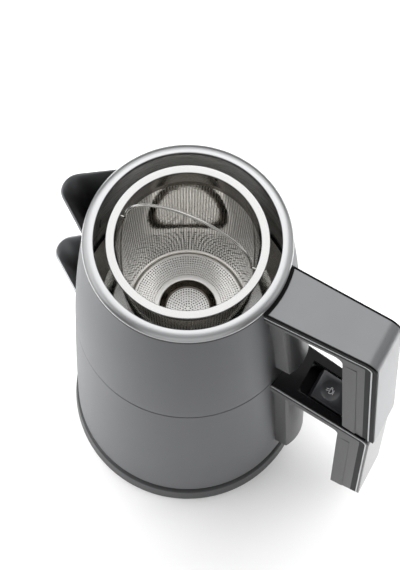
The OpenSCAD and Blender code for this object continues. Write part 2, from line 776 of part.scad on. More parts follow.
module teapot_handle_trim() color("#c9cbcd") pot_layer(bezel_t, bezel_t + trim_t, handle_half_w + trim_proud);

module teapot_handle_screws() color("#8d9094") for (share = arm_screw_shares)
    translate([grip_reach * share, 0, pot_arm_under]) screw(arm_screw_l);

// Kettle handle and brew key, with the key laid out on the arm's sloping top

well_start = 15.2;
well_border = 1.3;
well_round = 5;
well_ledge = 0.6;
well_depth_arm = 13;
belly_depth = 19;
belly_border = 2.3;
belly_round = 6;
key_proud = 0.6;
key_h = 6;
dish_depth = 1.2;
stem_r = 2.4;
stem_l = 3;
spring_r = 3.8;
spring_wire_d = 0.8;
spring_turns = 4;
spring_steps = 12;
spring_sides = 6;
switch_l = 8;
switch_w = 6;
switch_gap = 0.4;
key_end = key_start + key_l;
key_middle = key_start + key_half_w;
well_end = key_end + key_gap + well_border / 2;
well_half_w = key_half_w + well_border;
belly_screws = [well_start + well_round, key_end - well_round];
kettle_half_w = handle_half_w + kettle_widen;

module on_arm() translate([arm_start[0], 0, arm_start[1]]) rotate([0, arm_slope, 0]) children();

module kettle_layer(d0, d1, half_w) difference() {
    drawn_out(half_w) handle_layer(kettle_corner, arm_slope, kettle_lean, kettle_grip_drop,
        root_x(kettle_top_r), d0, d1);
    core(kettle_skin, kettle_z0, kettle_z1);
}

module well(inset, depth) on_arm() translate([0, 0, -depth]) linear_extrude(depth + cut)
    rounded_plan(well_start + inset, well_end - inset, well_half_w - inset, well_round - inset);

module kettle_handle_frame() color("#232426") difference() {
    union() {
        drawn_out(kettle_half_w) handle_core(kettle_corner, arm_slope, kettle_lean, kettle_arm_t, kettle_grip_drop,
            root_x(kettle_top_r), fascia_t + trim_t);
        bracket(kettle_skin(arm_start[1] - kettle_arm_t), kettle_z0 + kettle_bracket_lift,
            arm_start[1] - kettle_arm_t + edge_r, kettle_body_lean, bracket_half_w);
        on_arm() translate([0, 0, -belly_depth]) linear_extrude(belly_depth - kettle_arm_t / 2)
            rounded_plan(well_start - belly_border, well_end + belly_border, well_half_w + belly_border, belly_round);
    }
    core(kettle_skin, kettle_z0, kettle_z1);
    well(well_ledge, well_depth_arm);
    on_arm() for (x = belly_screws) translate([x, 0, -belly_depth - cut]) {
        cylinder(r = screw_r, h = cut + arm_screw_l);
        cylinder(r = screw_head_r + head_gap, h = cut + screw_head_h);
    }
}

module kettle_handle_grip() color("#1c1d1f")
    grip_insert(kettle_corner, kettle_lean, insert_top(kettle_arm_t), kettle_grip_drop, kettle_half_w);

module kettle_handle_cover() color("#131314") difference() {
    kettle_layer(0, fascia_t, kettle_half_w);
    well(0, fascia_t + cut);
}

module kettle_handle_trim() color("#c9cbcd") difference() {
    kettle_layer(fascia_t, fascia_t + trim_t, kettle_half_w + trim_proud);
    well(well_ledge, fascia_t + trim_t + cut);
}

module kettle_handle_screws() color("#8d9094") on_arm() for (x = belly_screws)
    translate([x, 0, -belly_depth]) screw(arm_screw_l);

module brew_key() color("#2e2f31") on_arm() {
    difference() {
        translate([0, 0, -key_h]) linear_extrude(key_h + key_proud)
            rounded_plan(key_start, key_end, key_half_w, key_round);
        dish_ball_r = (dish_r * dish_r + dish_depth * dish_depth) / (2 * dish_depth);
        translate([key_middle, 0, key_proud - dish_depth + dish_ball_r]) sphere(dish_ball_r);
    }
    translate([key_middle, 0, -key_h - stem_l]) cylinder(r = stem_r, h = stem_l);
}

// A coil spring round the key's stem, from the well's floor to the key
module brew_key_spring() color("#a5a7a9") on_arm() {
    h = well_depth_arm - key_h - spring_wire_d - slip;
    n = spring_turns * spring_steps;
    points = [for (i = [0 : n], j = [0 : spring_sides - 1])
        let (
            a = 360 * i / spring_steps,
            b = -360 * j / spring_sides,
            r = spring_r - spring_wire_d / 2 + spring_wire_d / 2 * cos(b)
        )
        [key_middle + r * cos(a), r * sin(a),
            spring_wire_d / 2 * (1 + sin(b)) - well_depth_arm + h * i / n]];
    sides = [for (i = [0 : n - 1], j = [0 : spring_sides - 1]) let (k = (j + 1) % spring_sides)
        [i * spring_sides + j, i * spring_sides + k, (i + 1) * spring_sides + k, (i + 1) * spring_sides + j]];
    ends = [[for (j = [spring_sides - 1 : -1 : 0]) j], [for (j = [0 : spring_sides - 1]) n * spring_sides + j]];
    polyhedron(points = points, faces = concat(sides, ends));
}

module brew_switch() color("#3b3c3f") on_arm() {
    top = key_h + key_travel + switch_gap;
    translate([key_end - switch_l, -switch_w / 2, -well_depth_arm]) cube([switch_l - key_gap, switch_w, well_depth_arm - top]);
}

// Teapot

rim_body = 4.2;
rim_skirt = 5.2;
rim_skirt_t = 0.8;
rim_shoulder_r = rim_inner_r + rim_flat;
rim_r_out = rim_shoulder_r + rim_roll_r;
rim_steps = 14;
shell_gap = 0.7;
pot_shell_top = pot_z1 - rim_skirt - shell_gap;
pot_liner_top = pot_z1 - rim_body;
corner_z = pot_z0 + corner_rise;
pan_seal_h = 1;
pan_z = corner_z - pan_seal_h;
pan_t = 1;
pan_turn = 1.5;
pan_step_z = pot_z0 + step_rise;
pot_floor_z = pot_z0 - floor_sink;
foot_wall = 3;
foot_r_out = mouth_r - foot_gap;
seat_t = 2.4;
seal_t = seam_gap - rest_gap;
seal_border = 0.6;

// The rim's top falls in a quarter of an ellipse from its inner land to its skirt
module teapot_rim() color("#dcdddf") {
    land_r = rim_inner_r + rim_land;
    rotate_extrude() polygon(concat(
        [[rim_inner_r, pot_z1 - rim_lip], [rim_shoulder_r, pot_z1 - rim_body],
         [rim_r_out - rim_skirt_t, pot_z1 - rim_body], [rim_r_out - rim_skirt_t, pot_z1 - rim_skirt],
         [rim_r_out, pot_z1 - rim_skirt]],
        [for (i = [0 : rim_steps]) let (a = 90 * i / rim_steps)
            [land_r + (rim_r_out - land_r) * cos(a), pot_z1 - rim_roll_r * (1 - sin(a))]],
        arc([rim_inner_r + edge_r, pot_z1 - edge_r], edge_r, 90, 180, 4)));
}

module rim_gasket() color("#101011") ring(rim_r_out - rim_skirt_t - slip,
    pot_skin(pot_shell_top) - liner_in + slip, pot_shell_top, pot_liner_top);

module teapot_shell() color("#8b8d90") difference() {
    side_wall(pot_skin, pot_z0, pot_shell_top, 0, skin_t);
    port(pot_port_top, pot_port_h, pot_port_w, pot_top_r);
}

module teapot_liner() color("#b9bbbd") difference() {
    side_wall(pot_skin, corner_z, pot_liner_top, liner_in, liner_t);
    strainer(pot_port_top, pot_port_h, pot_port_w, pot_top_r);
}

module pan_seal() color("#101011")
    ring(pot_skin(corner_z) - skin_t - slip, pot_skin(pan_z) - vessel_in + slip, pan_z, corner_z);

module teapot_pan() color("#b4b6b8") {
    r_out = pot_skin(pan_z) - skin_t - slip;
    line = [[r_out, pan_z], [pot_skin(pan_z) - vessel_in, pan_z], [step_r, pan_step_z], [floor_r, pot_floor_z],
        [valve_r, pot_floor_z]];
    rotate_extrude() polygon(concat(
        [line[0]], sheet_turns(line, pan_turn), [line[len(line) - 1], [valve_r, pot_floor_z - pan_t]],
        reversed(sheet_turns(line, pan_turn, pan_t)), [[r_out, pan_z - pan_t]]));
}

module teapot_foot_ring() color("#1f2022") {
    r_out = pot_skin(pot_z0) - skin_t - slip;
    lip_z = pot_z0 + seat_t + cover_lip_h;
    lip_r = pot_skin(lip_z) - skin_t - slip;
    foot_z = pot_z0 - nest_h;
    rotate_extrude() polygon([
        [foot_r_out - foot_wall, foot_z], [foot_r_out - edge_r, foot_z], [foot_r_out, foot_z + edge_r],
        [foot_r_out, pot_z0], [r_out, pot_z0], [lip_r, lip_z], [lip_r - cover_lip_t, lip_z],
        [lip_r - cover_lip_t, pot_z0 + seat_t], [foot_r_out - foot_wall, pot_z0 + seat_t]]);
}

module seat_seal() color("#141415") ring(pot_skin(pot_z0) - skin_t - seal_border, mouth_r + seal_border,
    pot_z0 - seal_t, pot_z0);

// Inlet valve in the middle of the teapot's floor, and the tube that feeds it from the kettle

valve_r = 8.5;
valve_flange_t = 1.2;
valve_seat_r = 4;
valve_room_r = 7;
valve_disc_r = 6.2;
valve_disc_t = 1.5;
valve_seat_drop = 5;
valve_seat_z = pot_floor_z - valve_seat_drop;
valve_room_floor = 4;
valve_body_z = valve_seat_z - valve_room_floor;
valve_cap_t = 0.8;
valve_cap_r = 10;
cap_hole_r = 2;
cap_holes = 3;
spigot_h = 6;
bell_h = 12;

module valve_body() color("#c2c4c6") difference() {
    union() {
        translate([0, 0, valve_body_z]) cylinder(r = valve_r - slip, h = pot_floor_z - valve_body_z);
        translate([0, 0, pot_floor_z]) cylinder(r = valve_flange_r, h = valve_flange_t);
        translate([0, 0, valve_body_z - spigot_h]) cylinder(r = riser_r - riser_t, h = spigot_h);
    }
    translate([0, 0, valve_seat_z]) cylinder(r = valve_room_r, h = pot_floor_z + valve_flange_t + cut - valve_seat_z);
    translate([0, 0, valve_body_z - spigot_h - cut]) cylinder(r = valve_seat_r, h = spigot_h + valve_room_floor + 2 * cut);
}

module valve_disc() color("#2a2b2d") translate([0, 0, valve_seat_z + rest_gap])
    cylinder(r = valve_disc_r, h = valve_disc_t);

module valve_cap() color("#c2c4c6") translate([0, 0, pot_floor_z + valve_flange_t]) difference() {
    cylinder(r = valve_cap_r, h = valve_cap_t);
    around(cap_holes, valve_seat_r) translate([0, 0, -cut]) cylinder(r = cap_hole_r, h = valve_cap_t + 2 * cut);
}

module riser_tube() color("#c8cacc") {
    z0 = heater_z + bell_gap;
    rotate_extrude() polygon([
        [bell_r - riser_t, z0], [bell_r, z0], [riser_r, z0 + bell_h], [riser_r, valve_body_z],
        [riser_r - riser_t, valve_body_z], [riser_r - riser_t, z0 + bell_h]]);
}

// Tea basket

flange_z = pot_z1 - flange_drop;
flange_lip = 2;
wall_top = flange_z - collar_h;
basket_floor_z = pot_floor_z + basket_floor_rise;
basket_foot_z = pot_floor_z + rest_gap;
floor_turn = 3;
hole_margin = 4;
floor_margin = 2.4;
floor_pitch = 3.1;
hole_spacing = 3.7;
pivot_z = pot_z1 - pivot_drop;
pivot_head_r = 1.15;
pivot_head_t = 0.6;
bail_bend_r = 1.4;

// Inner radius of the basket's wall at a height
function basket_r(z) = basket_floor_r + (collar_r - basket_floor_r) * (z - basket_floor_z) / (wall_top - basket_floor_z);

module basket_rim() color("#e2e3e4") difference() {
    rotate_extrude() polygon(concat(
        [[collar_r, wall_top], [collar_r + flange_t, wall_top], [collar_r + flange_t, flange_z - flange_t],
         [flange_r - flange_t, flange_z - flange_t], [flange_r - flange_t, flange_z - flange_lip],
         [flange_r, flange_z - flange_lip]],
        arc([flange_r - edge_r, flange_z - edge_r], edge_r, 0, 90, 4),
        arc([collar_r + edge_r, flange_z - edge_r], edge_r, 90, 180, 4)));
    around(4, collar_r, bail_turn) translate([-flange_t, 0, pivot_z]) rotate([0, 90, 0])
        cylinder(r = wire_d / 2 + pivot_gap, h = 3 * flange_t);
}

module basket_wall() color("#c5c3be") difference() {
    rotate_extrude() polygon([
        [basket_r(basket_foot_z), basket_foot_z], [basket_r(basket_foot_z) + mesh_t, basket_foot_z],
        [collar_r + mesh_t, wall_top], [collar_r, wall_top]]);
    z0 = basket_floor_z + hole_margin;
    z1 = wall_top - hole_margin;
    for (k = [0 : wall_rings - 1]) {
        z = z0 + (z1 - z0) * k / (wall_rings - 1);
        around(wall_holes, basket_r(z), k % 2 * 180 / wall_holes) translate([-mesh_t, 0, z]) rotate([0, 90, 0])
            cylinder(d = wall_hole_d, h = 3 * mesh_t, $fn = 24);
    }
}

// A ring of floor holes, about evenly spaced
module floor_holes(r, z) around(max(1, floor(2 * PI * r / hole_spacing)), r) translate([0, 0, z - mesh_t - cut])
    cylinder(d = floor_hole_d, h = mesh_t + 2 * cut, $fn = 24);

module basket_floor() color("#cfcdc8") difference() {
    rotate_extrude() polygon([
        [0, basket_floor_z - well_depth - mesh_t], [well_disc_r + mesh_t / 2, basket_floor_z - well_depth - mesh_t],
        [well_r + mesh_t / 2, basket_floor_z - mesh_t],
        [basket_r(basket_floor_z - mesh_t) - slip - mesh_t, basket_floor_z - mesh_t],
        [basket_r(basket_floor_z - floor_turn) - slip - mesh_t, basket_floor_z - floor_turn],
        [basket_r(basket_floor_z - floor_turn) - slip, basket_floor_z - floor_turn],
        [basket_floor_r - slip, basket_floor_z], [well_r, basket_floor_z],
        [well_disc_r, basket_floor_z - well_depth], [0, basket_floor_z - well_depth]]);
    for (r = [well_r + floor_margin : floor_pitch : basket_floor_r - floor_margin]) floor_holes(r, basket_floor_z);
    for (r = [0 : floor_pitch : well_disc_r - floor_margin]) floor_holes(r, basket_floor_z - well_depth);
}

// A wire arch on two short legs, each bent outwards into a pin with a head behind the collar
module basket_bail() color("#b8babc") translate([0, 0, pivot_z]) rotate(bail_turn) {
    leg = bail_rise - bail_r;
    pin_x = bail_r + bail_bend_r;
    head_x = collar_r + flange_t + rest_gap;
    translate([0, 0, leg]) rotate([90, 0, 0]) rotate_extrude(angle = 180) translate([bail_r, 0])
        circle(d = wire_d, $fn = 32);
    for (s = [0, 180]) rotate(s) {
        translate([bail_r, 0, bail_bend_r]) cylinder(d = wire_d, h = leg - bail_bend_r, $fn = 32);
        translate([pin_x, 0, bail_bend_r]) rotate([90, 0, 0]) rotate(180) rotate_extrude(angle = 90)
            translate([bail_bend_r, 0]) circle(d = wire_d, $fn = 32);
        translate([pin_x, 0, 0]) rotate([0, 90, 0]) cylinder(d = wire_d, h = head_x - pin_x, $fn = 32);
        translate([head_x, 0, 0]) rotate([0, 90, 0]) cylinder(r = pivot_head_r, h = pivot_head_t);
    }
}

base_cover();
base_plate();
base_feet();
base_screws();
base_socket();
cord_grommet();
kettle_shell();
kettle_liner();
kettle_top_ring();
kettle_spout();
heater_plate();
heater_element();
kettle_connector();
kettle_bottom_cover();
temperature_sensor();
kettle_handle_frame();
kettle_handle_grip();
kettle_handle_cover();
kettle_handle_trim();
kettle_handle_screws();
brew_key();
brew_key_spring();
brew_switch();
teapot_rim();
rim_gasket();
teapot_shell();
teapot_liner();
pan_seal();
teapot_pan();
teapot_foot_ring();
seat_seal();
teapot_spout();
teapot_handle_frame();
teapot_handle_grip();
teapot_handle_bezel();
teapot_handle_trim();
teapot_handle_cover();
teapot_handle_screws();
valve_body();
valve_disc();
valve_cap();
riser_tube();
basket_rim();
basket_wall();
basket_floor();
basket_bail();
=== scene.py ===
"""Studio scene of a two-tier tea maker: its steel vessels, handles, basket and base in a soft white studio."""

import logging
import math
from dataclasses import dataclass, field
from enum import Enum
from functools import cache
from typing import Callable, Sequence

import bmesh
import bpy
import numpy as np
from mathutils import Matrix, Vector


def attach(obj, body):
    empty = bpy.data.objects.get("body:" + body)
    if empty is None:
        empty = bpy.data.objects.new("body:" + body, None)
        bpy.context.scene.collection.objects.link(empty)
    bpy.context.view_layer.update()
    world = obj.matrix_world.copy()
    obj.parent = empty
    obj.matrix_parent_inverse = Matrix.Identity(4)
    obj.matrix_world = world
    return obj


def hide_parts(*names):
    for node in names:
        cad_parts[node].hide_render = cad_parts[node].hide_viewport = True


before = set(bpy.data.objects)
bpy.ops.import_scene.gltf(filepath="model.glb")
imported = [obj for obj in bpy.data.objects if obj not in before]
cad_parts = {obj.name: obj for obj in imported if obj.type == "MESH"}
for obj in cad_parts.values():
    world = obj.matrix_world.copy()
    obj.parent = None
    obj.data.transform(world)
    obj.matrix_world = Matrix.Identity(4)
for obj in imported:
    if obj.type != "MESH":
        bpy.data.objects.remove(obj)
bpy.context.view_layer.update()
MM = 0.001
# Tolerances in metres, for points in one place and for heights on one level
SAME_PLACE = 1e-6
LEVEL = 1e-7
FULL_TURN = 2 * math.pi
LOG = logging.getLogger("tea_maker")

Piece = bpy.types.Object
Tree = bpy.types.NodeTree
Socket = bpy.types.NodeSocket
Point = tuple[float, float]
Profile = list[Point]


class Body(Enum):
    """The rigid bodies that the new pieces ride on."""

    KETTLE = "kettle"
    KEY = "key"
    TEAPOT = "teapot"
    BASKET = "basket"


class Lay(Enum):
    """How the lines of a brushed finish lie on a piece."""

    ROUND = "round the upright axis"
    UPRIGHT = "up and down"
    BLASTED = "no direction"


def srgb(code: str) -> tuple[float, float, float, float]:
    """Turn an sRGB hex colour into Blender's linear colour.

    Args:
        code: Six hex digits.

    Returns:
        Linear red, green, blue and an alpha of one.
    """
    shares = [int(code[i : i + 2], 16) / 255 for i in (0, 2, 4)]
    linear = [s / 12.92 if s <= 0.04045 else ((s + 0.055) / 1.055) ** 2.4 for s in shares]
    return (linear[0], linear[1], linear[2], 1.0)


def add_node(tree: Tree, kind: str, values: dict[str | int, object] | None = None,
             links: dict[str | int, Socket] | None = None, **settings: object) -> bpy.types.Node:
    """Add one shader node with its settings, values and incoming links.

    Args:
        tree: The node tree that gets the node.
        kind: Blender's type name of the node, after the words that all shader nodes start with.
        values: Values of input sockets, by name or index.
        links: Output sockets that feed input sockets, by name or index.
        **settings: Properties of the node itself.

    Returns:
        The new node.
    """
    node = tree.nodes.new(f"ShaderNode{kind}")
    for name, value in settings.items():
        setattr(node, name, value)
    for key, value in (values or {}).items():
        node.inputs[key].default_value = value
    for key, source in (links or {}).items():
        tree.links.new(source, node.inputs[key])
    return node


def empty_material(name: str) -> tuple[bpy.types.Material, Tree, Socket]:
    """Make a material that holds only object coordinates.

    Args:
        name: The material's name.

    Returns:
        The material, its node tree and the coordinates' socket.
    """
    material = bpy.data.materials.new(name)
    material.use_nodes = True
    tree = material.node_tree
    tree.nodes.clear()
    return material, tree, add_node(tree, "TexCoord").outputs["Object"]


@dataclass(frozen=True)
class Finish:
    """What all finishes share: a fine grain in roughness and bump, and slow clouds in the colour."""

    name: str
    tint: str
    roughness: float
    spread: float
    grain_mm: float
    depth: float
    cloud: float = 0.08
    cloud_mm: float = 28.5714

    def grain(self, tree: Tree, place: Socket) -> bpy.types.Node:
        """Add the finish's grain, without a direction."""
        return add_node(tree, "TexNoise", {"Scale": 1 / (self.grain_mm * MM), "Detail": 2.0}, {"Vector": place})

    def shading(self, tree: Tree, place: Socket) -> tuple[dict[str, float], dict[str, Socket]]:
        """Return the shader's own values and links."""
        return {}, {}

    def material(self) -> bpy.types.Material:
        """Build the material.

        Returns:
            The material, closed and ready to use.
        """
        material, tree, place = empty_material(self.name)
        grain = self.grain(tree, place).outputs["Fac"]
        slow = add_node(tree, "TexNoise", {"Scale": 1 / (self.cloud_mm * MM), "Detail": 2.0}, {"Vector": place})
        dark, light = (tuple(min(1.0, c * share) for c in srgb(self.tint)[:3]) + (1.0,)
                       for share in (1 - self.cloud, 1 + self.cloud))
        colour = add_node(tree, "Mix", {6: dark, 7: light}, {0: slow.outputs["Fac"]}, data_type="RGBA")
        rough = add_node(tree, "MapRange", {"To Min": max(0.02, self.roughness - self.spread),
                                            "To Max": self.roughness + self.spread}, {"Value": grain})
        bump = add_node(tree, "Bump", {"Strength": self.depth, "Distance": self.grain_mm * MM}, {"Height": grain})
        values, links = self.shading(tree, place)
        links |= {"Base Color": colour.outputs[2], "Roughness": rough.outputs[0], "Normal": bump.outputs[0]}
        shader = add_node(tree, "BsdfPrincipled", values, links)
        add_node(tree, "OutputMaterial", links={"Surface": shader.outputs[0]})
        return material


@dataclass(frozen=True)
class Steel(Finish):
    """Stainless steel, 18/10 sheet, brushed, blasted or polished."""

    cloud: float = 0.04
    cloud_mm: float = 40.0
    lay: Lay = Lay.BLASTED
    streak: float = 0.0
    drift: float = 1.2

    def grain(self, tree: Tree, place: Socket) -> bpy.types.Node:
        """Add the sheet's fine lines or grain.

        Args:
            tree: The material's node tree.
            place: The object coordinates.

        Returns:
            The noise node.
        """
        fine, slow = 1 / (self.grain_mm * MM), 1 / (self.cloud_mm * MM)
        if self.lay is Lay.ROUND:
            pattern = self.rings(tree, place, fine)
        else:
            scale = (fine, fine, slow if self.lay is Lay.UPRIGHT else fine)
            pattern = add_node(tree, "Mapping", {"Scale": scale}, {0: place})
        return add_node(tree, "TexNoise", {"Scale": 1.0, "Detail": 3.0, "Roughness": 0.6},
                        {"Vector": pattern.outputs[0]})

    def rings(self, tree: Tree, place: Socket, fine: float) -> bpy.types.Node:
        """Lay lines round the axis: the pattern changes fast with radius and height and slowly with the angle.

        Args:
            tree: The material's node tree.
            place: The object coordinates.
            fine: Lines to a metre.

        Returns:
            The node with the pattern's coordinates.
        """
        height = add_node(tree, "SeparateXYZ", links={0: place}).outputs[2]
        flat = add_node(tree, "VectorMath", {1: (1.0, 1.0, 0.0)}, {0: place}, operation="MULTIPLY").outputs[0]
        radius = add_node(tree, "VectorMath", links={0: flat}, operation="LENGTH").outputs["Value"]
        across = add_node(tree, "CombineXYZ", links={0: radius, 1: height}).outputs[0]
        fast = add_node(tree, "VectorMath", {3: fine}, {0: across}, operation="SCALE").outputs[0]
        unit = add_node(tree, "VectorMath", links={0: flat}, operation="NORMALIZE").outputs[0]
        turn = add_node(tree, "VectorMath", {3: self.grain_mm * self.drift}, {0: unit}, operation="SCALE")
        ends = add_node(tree, "SeparateXYZ", links={0: turn.outputs[0]}).outputs
        slow = add_node(tree, "CombineXYZ", links={0: ends[0], 2: ends[1]}).outputs[0]
        return add_node(tree, "VectorMath", links={0: fast, 1: slow}, operation="ADD")

    def shading(self, tree: Tree, place: Socket) -> tuple[dict[str, float], dict[str, Socket]]:
        """Return the bare metal's values and, for a streaked sheet, the way of its scratches.

        Args:
            tree: The material's node tree.
            place: The object coordinates.

        Returns:
            The shader's values and links.
        """
        if not self.streak:
            return {"Metallic": 1.0}, {}
        # Fine scratches run round the axis, so a highlight stretches across them, up and down the wall
        ring = add_node(tree, "VectorMath", {0: (0.0, 0.0, 1.0)}, {1: place}, operation="CROSS_PRODUCT")
        world = add_node(tree, "VectorTransform", links={0: ring.outputs[0]}, vector_type="VECTOR",
                         convert_from="OBJECT", convert_to="WORLD")
        values = {"Metallic": 1.0, "Anisotropic": self.streak, "Anisotropic Rotation": 0.25}
        return values, {"Tangent": world.outputs[0]}


@dataclass(frozen=True)
class Plastic(Finish):
    """A moulded or painted plastic with the fine grain of its mould."""

    ior: float = 1.5
    flake: float = 0.0
    sheen_level: float = 0.5

    def shading(self, tree: Tree, place: Socket) -> tuple[dict[str, float], dict[str, Socket]]:
        """Return the plastic's values for the shader."""
        return {"Metallic": self.flake, "IOR": self.ior, "Specular IOR Level": self.sheen_level}, {}


# Outer shells: very fine scratches round the axis give a soft sheen that changes round the body
SHELL_STEEL = Steel("satin_18_10_steel", "6A6B6D", 0.40, 0.04, 0.5, 0.08, streak=0.75)
# Spout sheet: the same steel, rougher where it was formed, and painted a little lighter than the shell as painted light
# in the beak's shaded inside
PAINTED_LIGHT_SPOUT_STEEL = Steel("spout_steel_painted_lighter", "929395", 0.46, 0.06, 0.6, 0.10, cloud_mm=25.0, lay=Lay.UPRIGHT)
# Rim: turned and finely brushed round its axis
RIM_STEEL = Steel("turned_rim_steel", "C6C7C8", 0.30, 0.05, 0.3, 0.06, lay=Lay.ROUND)
# Liner: drawn sheet, brushed round its axis, with faint rings from the drawing
LINER_STEEL = Steel("drawn_liner_steel", "E6E6E5", 0.28, 0.05, 0.5, 0.08, lay=Lay.ROUND)
# Pan: pressed and blasted sheet, pale and even where the sky falls on it
PAN_STEEL = Steel("blasted_pan_steel", "F2F2F0", 0.14, 0.05, 0.5, 0.05)
# Basket: electropolished sheet, almost a mirror
BASKET_STEEL = Steel("electropolished_steel", "EEECE8", 0.06, 0.02, 6.0, 0.006)
# Basket floor and disc: the same sheet, satin after it was punched and pressed
FLOOR_STEEL = Steel("satin_basket_floor_steel", "F4F3F1", 0.30, 0.05, 0.5, 0.06)
# Basket flange: turned sheet, polished to a soft shine with faint rings
BASKET_RIM_STEEL = Steel("polished_flange_steel", "C5C5C4", 0.26, 0.04, 0.4, 0.05, lay=Lay.ROUND)
# Collar band, top band and the well's steep sheet: polished, with a dark brownish colour that paints the dark
# reflection these bands show
PAINTED_DARK_REFLECTION_STEEL = Steel("collar_steel_painted_dark_reflection", "5C574F", 0.12, 0.04, 0.6, 0.03, lay=Lay.ROUND)
# Wire handle: drawn wire, drum polished
WIRE_STEEL = Steel("drawn_wire_steel", "BCBAB6", 0.20, 0.05, 0.4, 0.04)
# Valve and riser: turned bar and tube, bright with fine rings
VALVE_STEEL = Steel("turned_valve_steel", "B9BABC", 0.22, 0.05, 0.3, 0.06, lay=Lay.ROUND)
# Screws and spring: bright drawn wire with a dull grain
SCREW_STEEL = Steel("bright_screw_steel", "9A9C9F", 0.30, 0.06, 0.4, 0.06)
# Heating element: aluminium, left rough and dull by the brazing
ELEMENT_METAL = Steel("brazed_element_aluminium", "8B8C8E", 0.45, 0.08, 0.8, 0.15)
# Light lines on the handles: satin chrome that catches the light along its edge
TRIM_CHROME = Steel("satin_chrome_line", "C6C8CA", 0.30, 0.04, 0.5, 0.04)
# Handle: glass-filled nylon with a fine spark-eroded grain
HANDLE_NYLON = Plastic("moulded_black_nylon", "28292B", 0.38, 0.06, 0.5, 0.08)
# Borders, and the strips of painted shadow under the light lines: matt black that hardly reflects the room
MATT_BLACK = Plastic("matt_black_nylon", "0B0B0C", 0.55, 0.05, 0.5, 0.05, sheen_level=0.15)
# Top of the kettle's handle: gloss moulded, with clear reflections
GLOSS_BLACK = Plastic("gloss_black_abs", "18181A", 0.16, 0.03, 1.5, 0.01, sheen_level=0.35)
# Plate on the teapot's handle: grey lacquer with fine metal flakes
PLATE_GREY = Plastic("metallic_grey_lacquer", "8B8C8E", 0.36, 0.05, 0.35, 0.06, flake=0.55)
# Key: satin moulded, a little lighter than the parts round it
KEY_BLACK = Plastic("key_satin_abs", "37383B", 0.34, 0.04, 1.2, 0.02, sheen_level=0.6)
# Print on the key: a thin pale ink film
PALE_INK = Plastic("pale_tampon_ink", "C9CACC", 0.50, 0.05, 0.4, 0.02)
# Base and inner mouldings: plain polypropylene with a visible grain
BASE_PLASTIC = Plastic("moulded_base_polypropylene", "242527", 0.42, 0.06, 0.6, 0.12)
# Seals and feet: silicone, dull and nearly black
RUBBER = Plastic("black_silicone_rubber", "151516", 0.62, 0.08, 0.8, 0.10, ior=1.45)


@cache
def material_of(finish: Finish) -> bpy.types.Material:
    """Return a finish's material, built on its first use."""
    return finish.material()


@dataclass(frozen=True)
class Dresser:
    """Gives every carried-over CAD node its material."""

    wardrobe: tuple[tuple[Finish, str], ...] = (
        (SHELL_STEEL, "kettle_shell teapot_shell"),
        (PAINTED_LIGHT_SPOUT_STEEL, "kettle_spout teapot_spout"),
        (RIM_STEEL, "teapot_rim"),
        (LINER_STEEL, "kettle_liner teapot_liner heater_plate"),
        (PAN_STEEL, "teapot_pan"),
        (BASKET_RIM_STEEL, "basket_rim"),
        (BASKET_STEEL, "basket_wall basket_floor"),
        (WIRE_STEEL, "basket_bail"),
        (VALVE_STEEL, "valve_body valve_cap riser_tube"),
        (ELEMENT_METAL, "heater_element"),
        (HANDLE_NYLON, "kettle_handle_frame kettle_handle_grip teapot_handle_frame teapot_handle_grip"),
        (GLOSS_BLACK, "kettle_handle_cover"),
        (MATT_BLACK, "teapot_handle_bezel"),
        (PLATE_GREY, "teapot_handle_cover"),
        (TRIM_CHROME, "kettle_handle_trim teapot_handle_trim"),
        (KEY_BLACK, "brew_key"),
        (BASE_PLASTIC, "base_cover base_plate base_socket kettle_connector kettle_bottom_cover kettle_top_ring "
                       "teapot_foot_ring brew_switch temperature_sensor"),
        (RUBBER, "base_feet cord_grommet rim_gasket pan_seal seat_seal valve_disc"),
        (SCREW_STEEL, "base_screws kettle_handle_screws teapot_handle_screws brew_key_spring"),
    )

    def dress(self) -> None:
        """Put the wardrobe's materials on the nodes."""
        finishes = {name: finish for finish, names in self.wardrobe for name in names.split()}
        for name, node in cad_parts.items():
            node.data.materials.clear()
            node.data.materials.append(material_of(finishes[name]))
            LOG.info("dressed node %s in %s", name, finishes[name].name)


def add(operator: Callable[..., object], name: str, **settings: object) -> Piece:
    """Add one primitive with nothing else selected.

    Args:
        operator: The operator that adds it.
        name: The new object's name.
        **settings: The operator's settings.

    Returns:
        The new object.
    """
    bpy.ops.object.select_all(action="DESELECT")
    operator(**settings)
    piece = bpy.context.active_object
    piece.name = piece.data.name = name
    return piece


def only(piece: Piece) -> None:
    """Select one object alone and make it active."""
    bpy.ops.object.select_all(action="DESELECT")
    piece.select_set(True)
    bpy.context.view_layer.objects.active = piece


def edit(piece: Piece, work: Callable[[], object]) -> None:
    """Run edit-mode operators on the whole of a piece.

    Args:
        piece: The piece.
        work: The function that runs them.
    """
    only(piece)
    bpy.ops.object.mode_set(mode="EDIT")
    bpy.ops.mesh.select_all(action="SELECT")
    work()
    bpy.ops.object.mode_set(mode="OBJECT")


def modify(piece: Piece, kind: str, **settings: object) -> None:
    """Add one modifier, set it and apply it.

    Args:
        piece: The piece to change.
        kind: Blender's type name of the modifier.
        **settings: The modifier's properties.
    """
    only(piece)
    modifier = piece.modifiers.new(kind.lower(), kind)
    for name, value in settings.items():
        setattr(modifier, name, value)
    bpy.ops.object.modifier_apply(modifier=modifier.name)


def merge(piece: Piece) -> None:
    """Merge the points of a piece that lie in one place."""
    edit(piece, lambda: bpy.ops.mesh.remove_doubles(threshold=SAME_PLACE))


def face_out(piece: Piece) -> None:
    """Turn all faces of a piece outwards, or all one way where it is open."""
    edit(piece, lambda: bpy.ops.mesh.normals_make_consistent(inside=False))


def flip(piece: Piece) -> None:
    """Turn all faces of a piece round."""
    edit(piece, lambda: bpy.ops.mesh.flip_normals())


def smooth(piece: Piece, angle: float = 30.0) -> None:
    """Shade smooth wherever faces meet at less than an angle."""
    only(piece)
    bpy.ops.object.shade_smooth_by_angle(angle=math.radians(angle))


def soften(piece: Piece, width: float, angle: float) -> None:
    """Round the edges that are sharper than an angle, by a width in millimetres."""
    modify(piece, "BEVEL", width=width * MM, segments=2, limit_method="ANGLE", angle_limit=math.radians(angle))


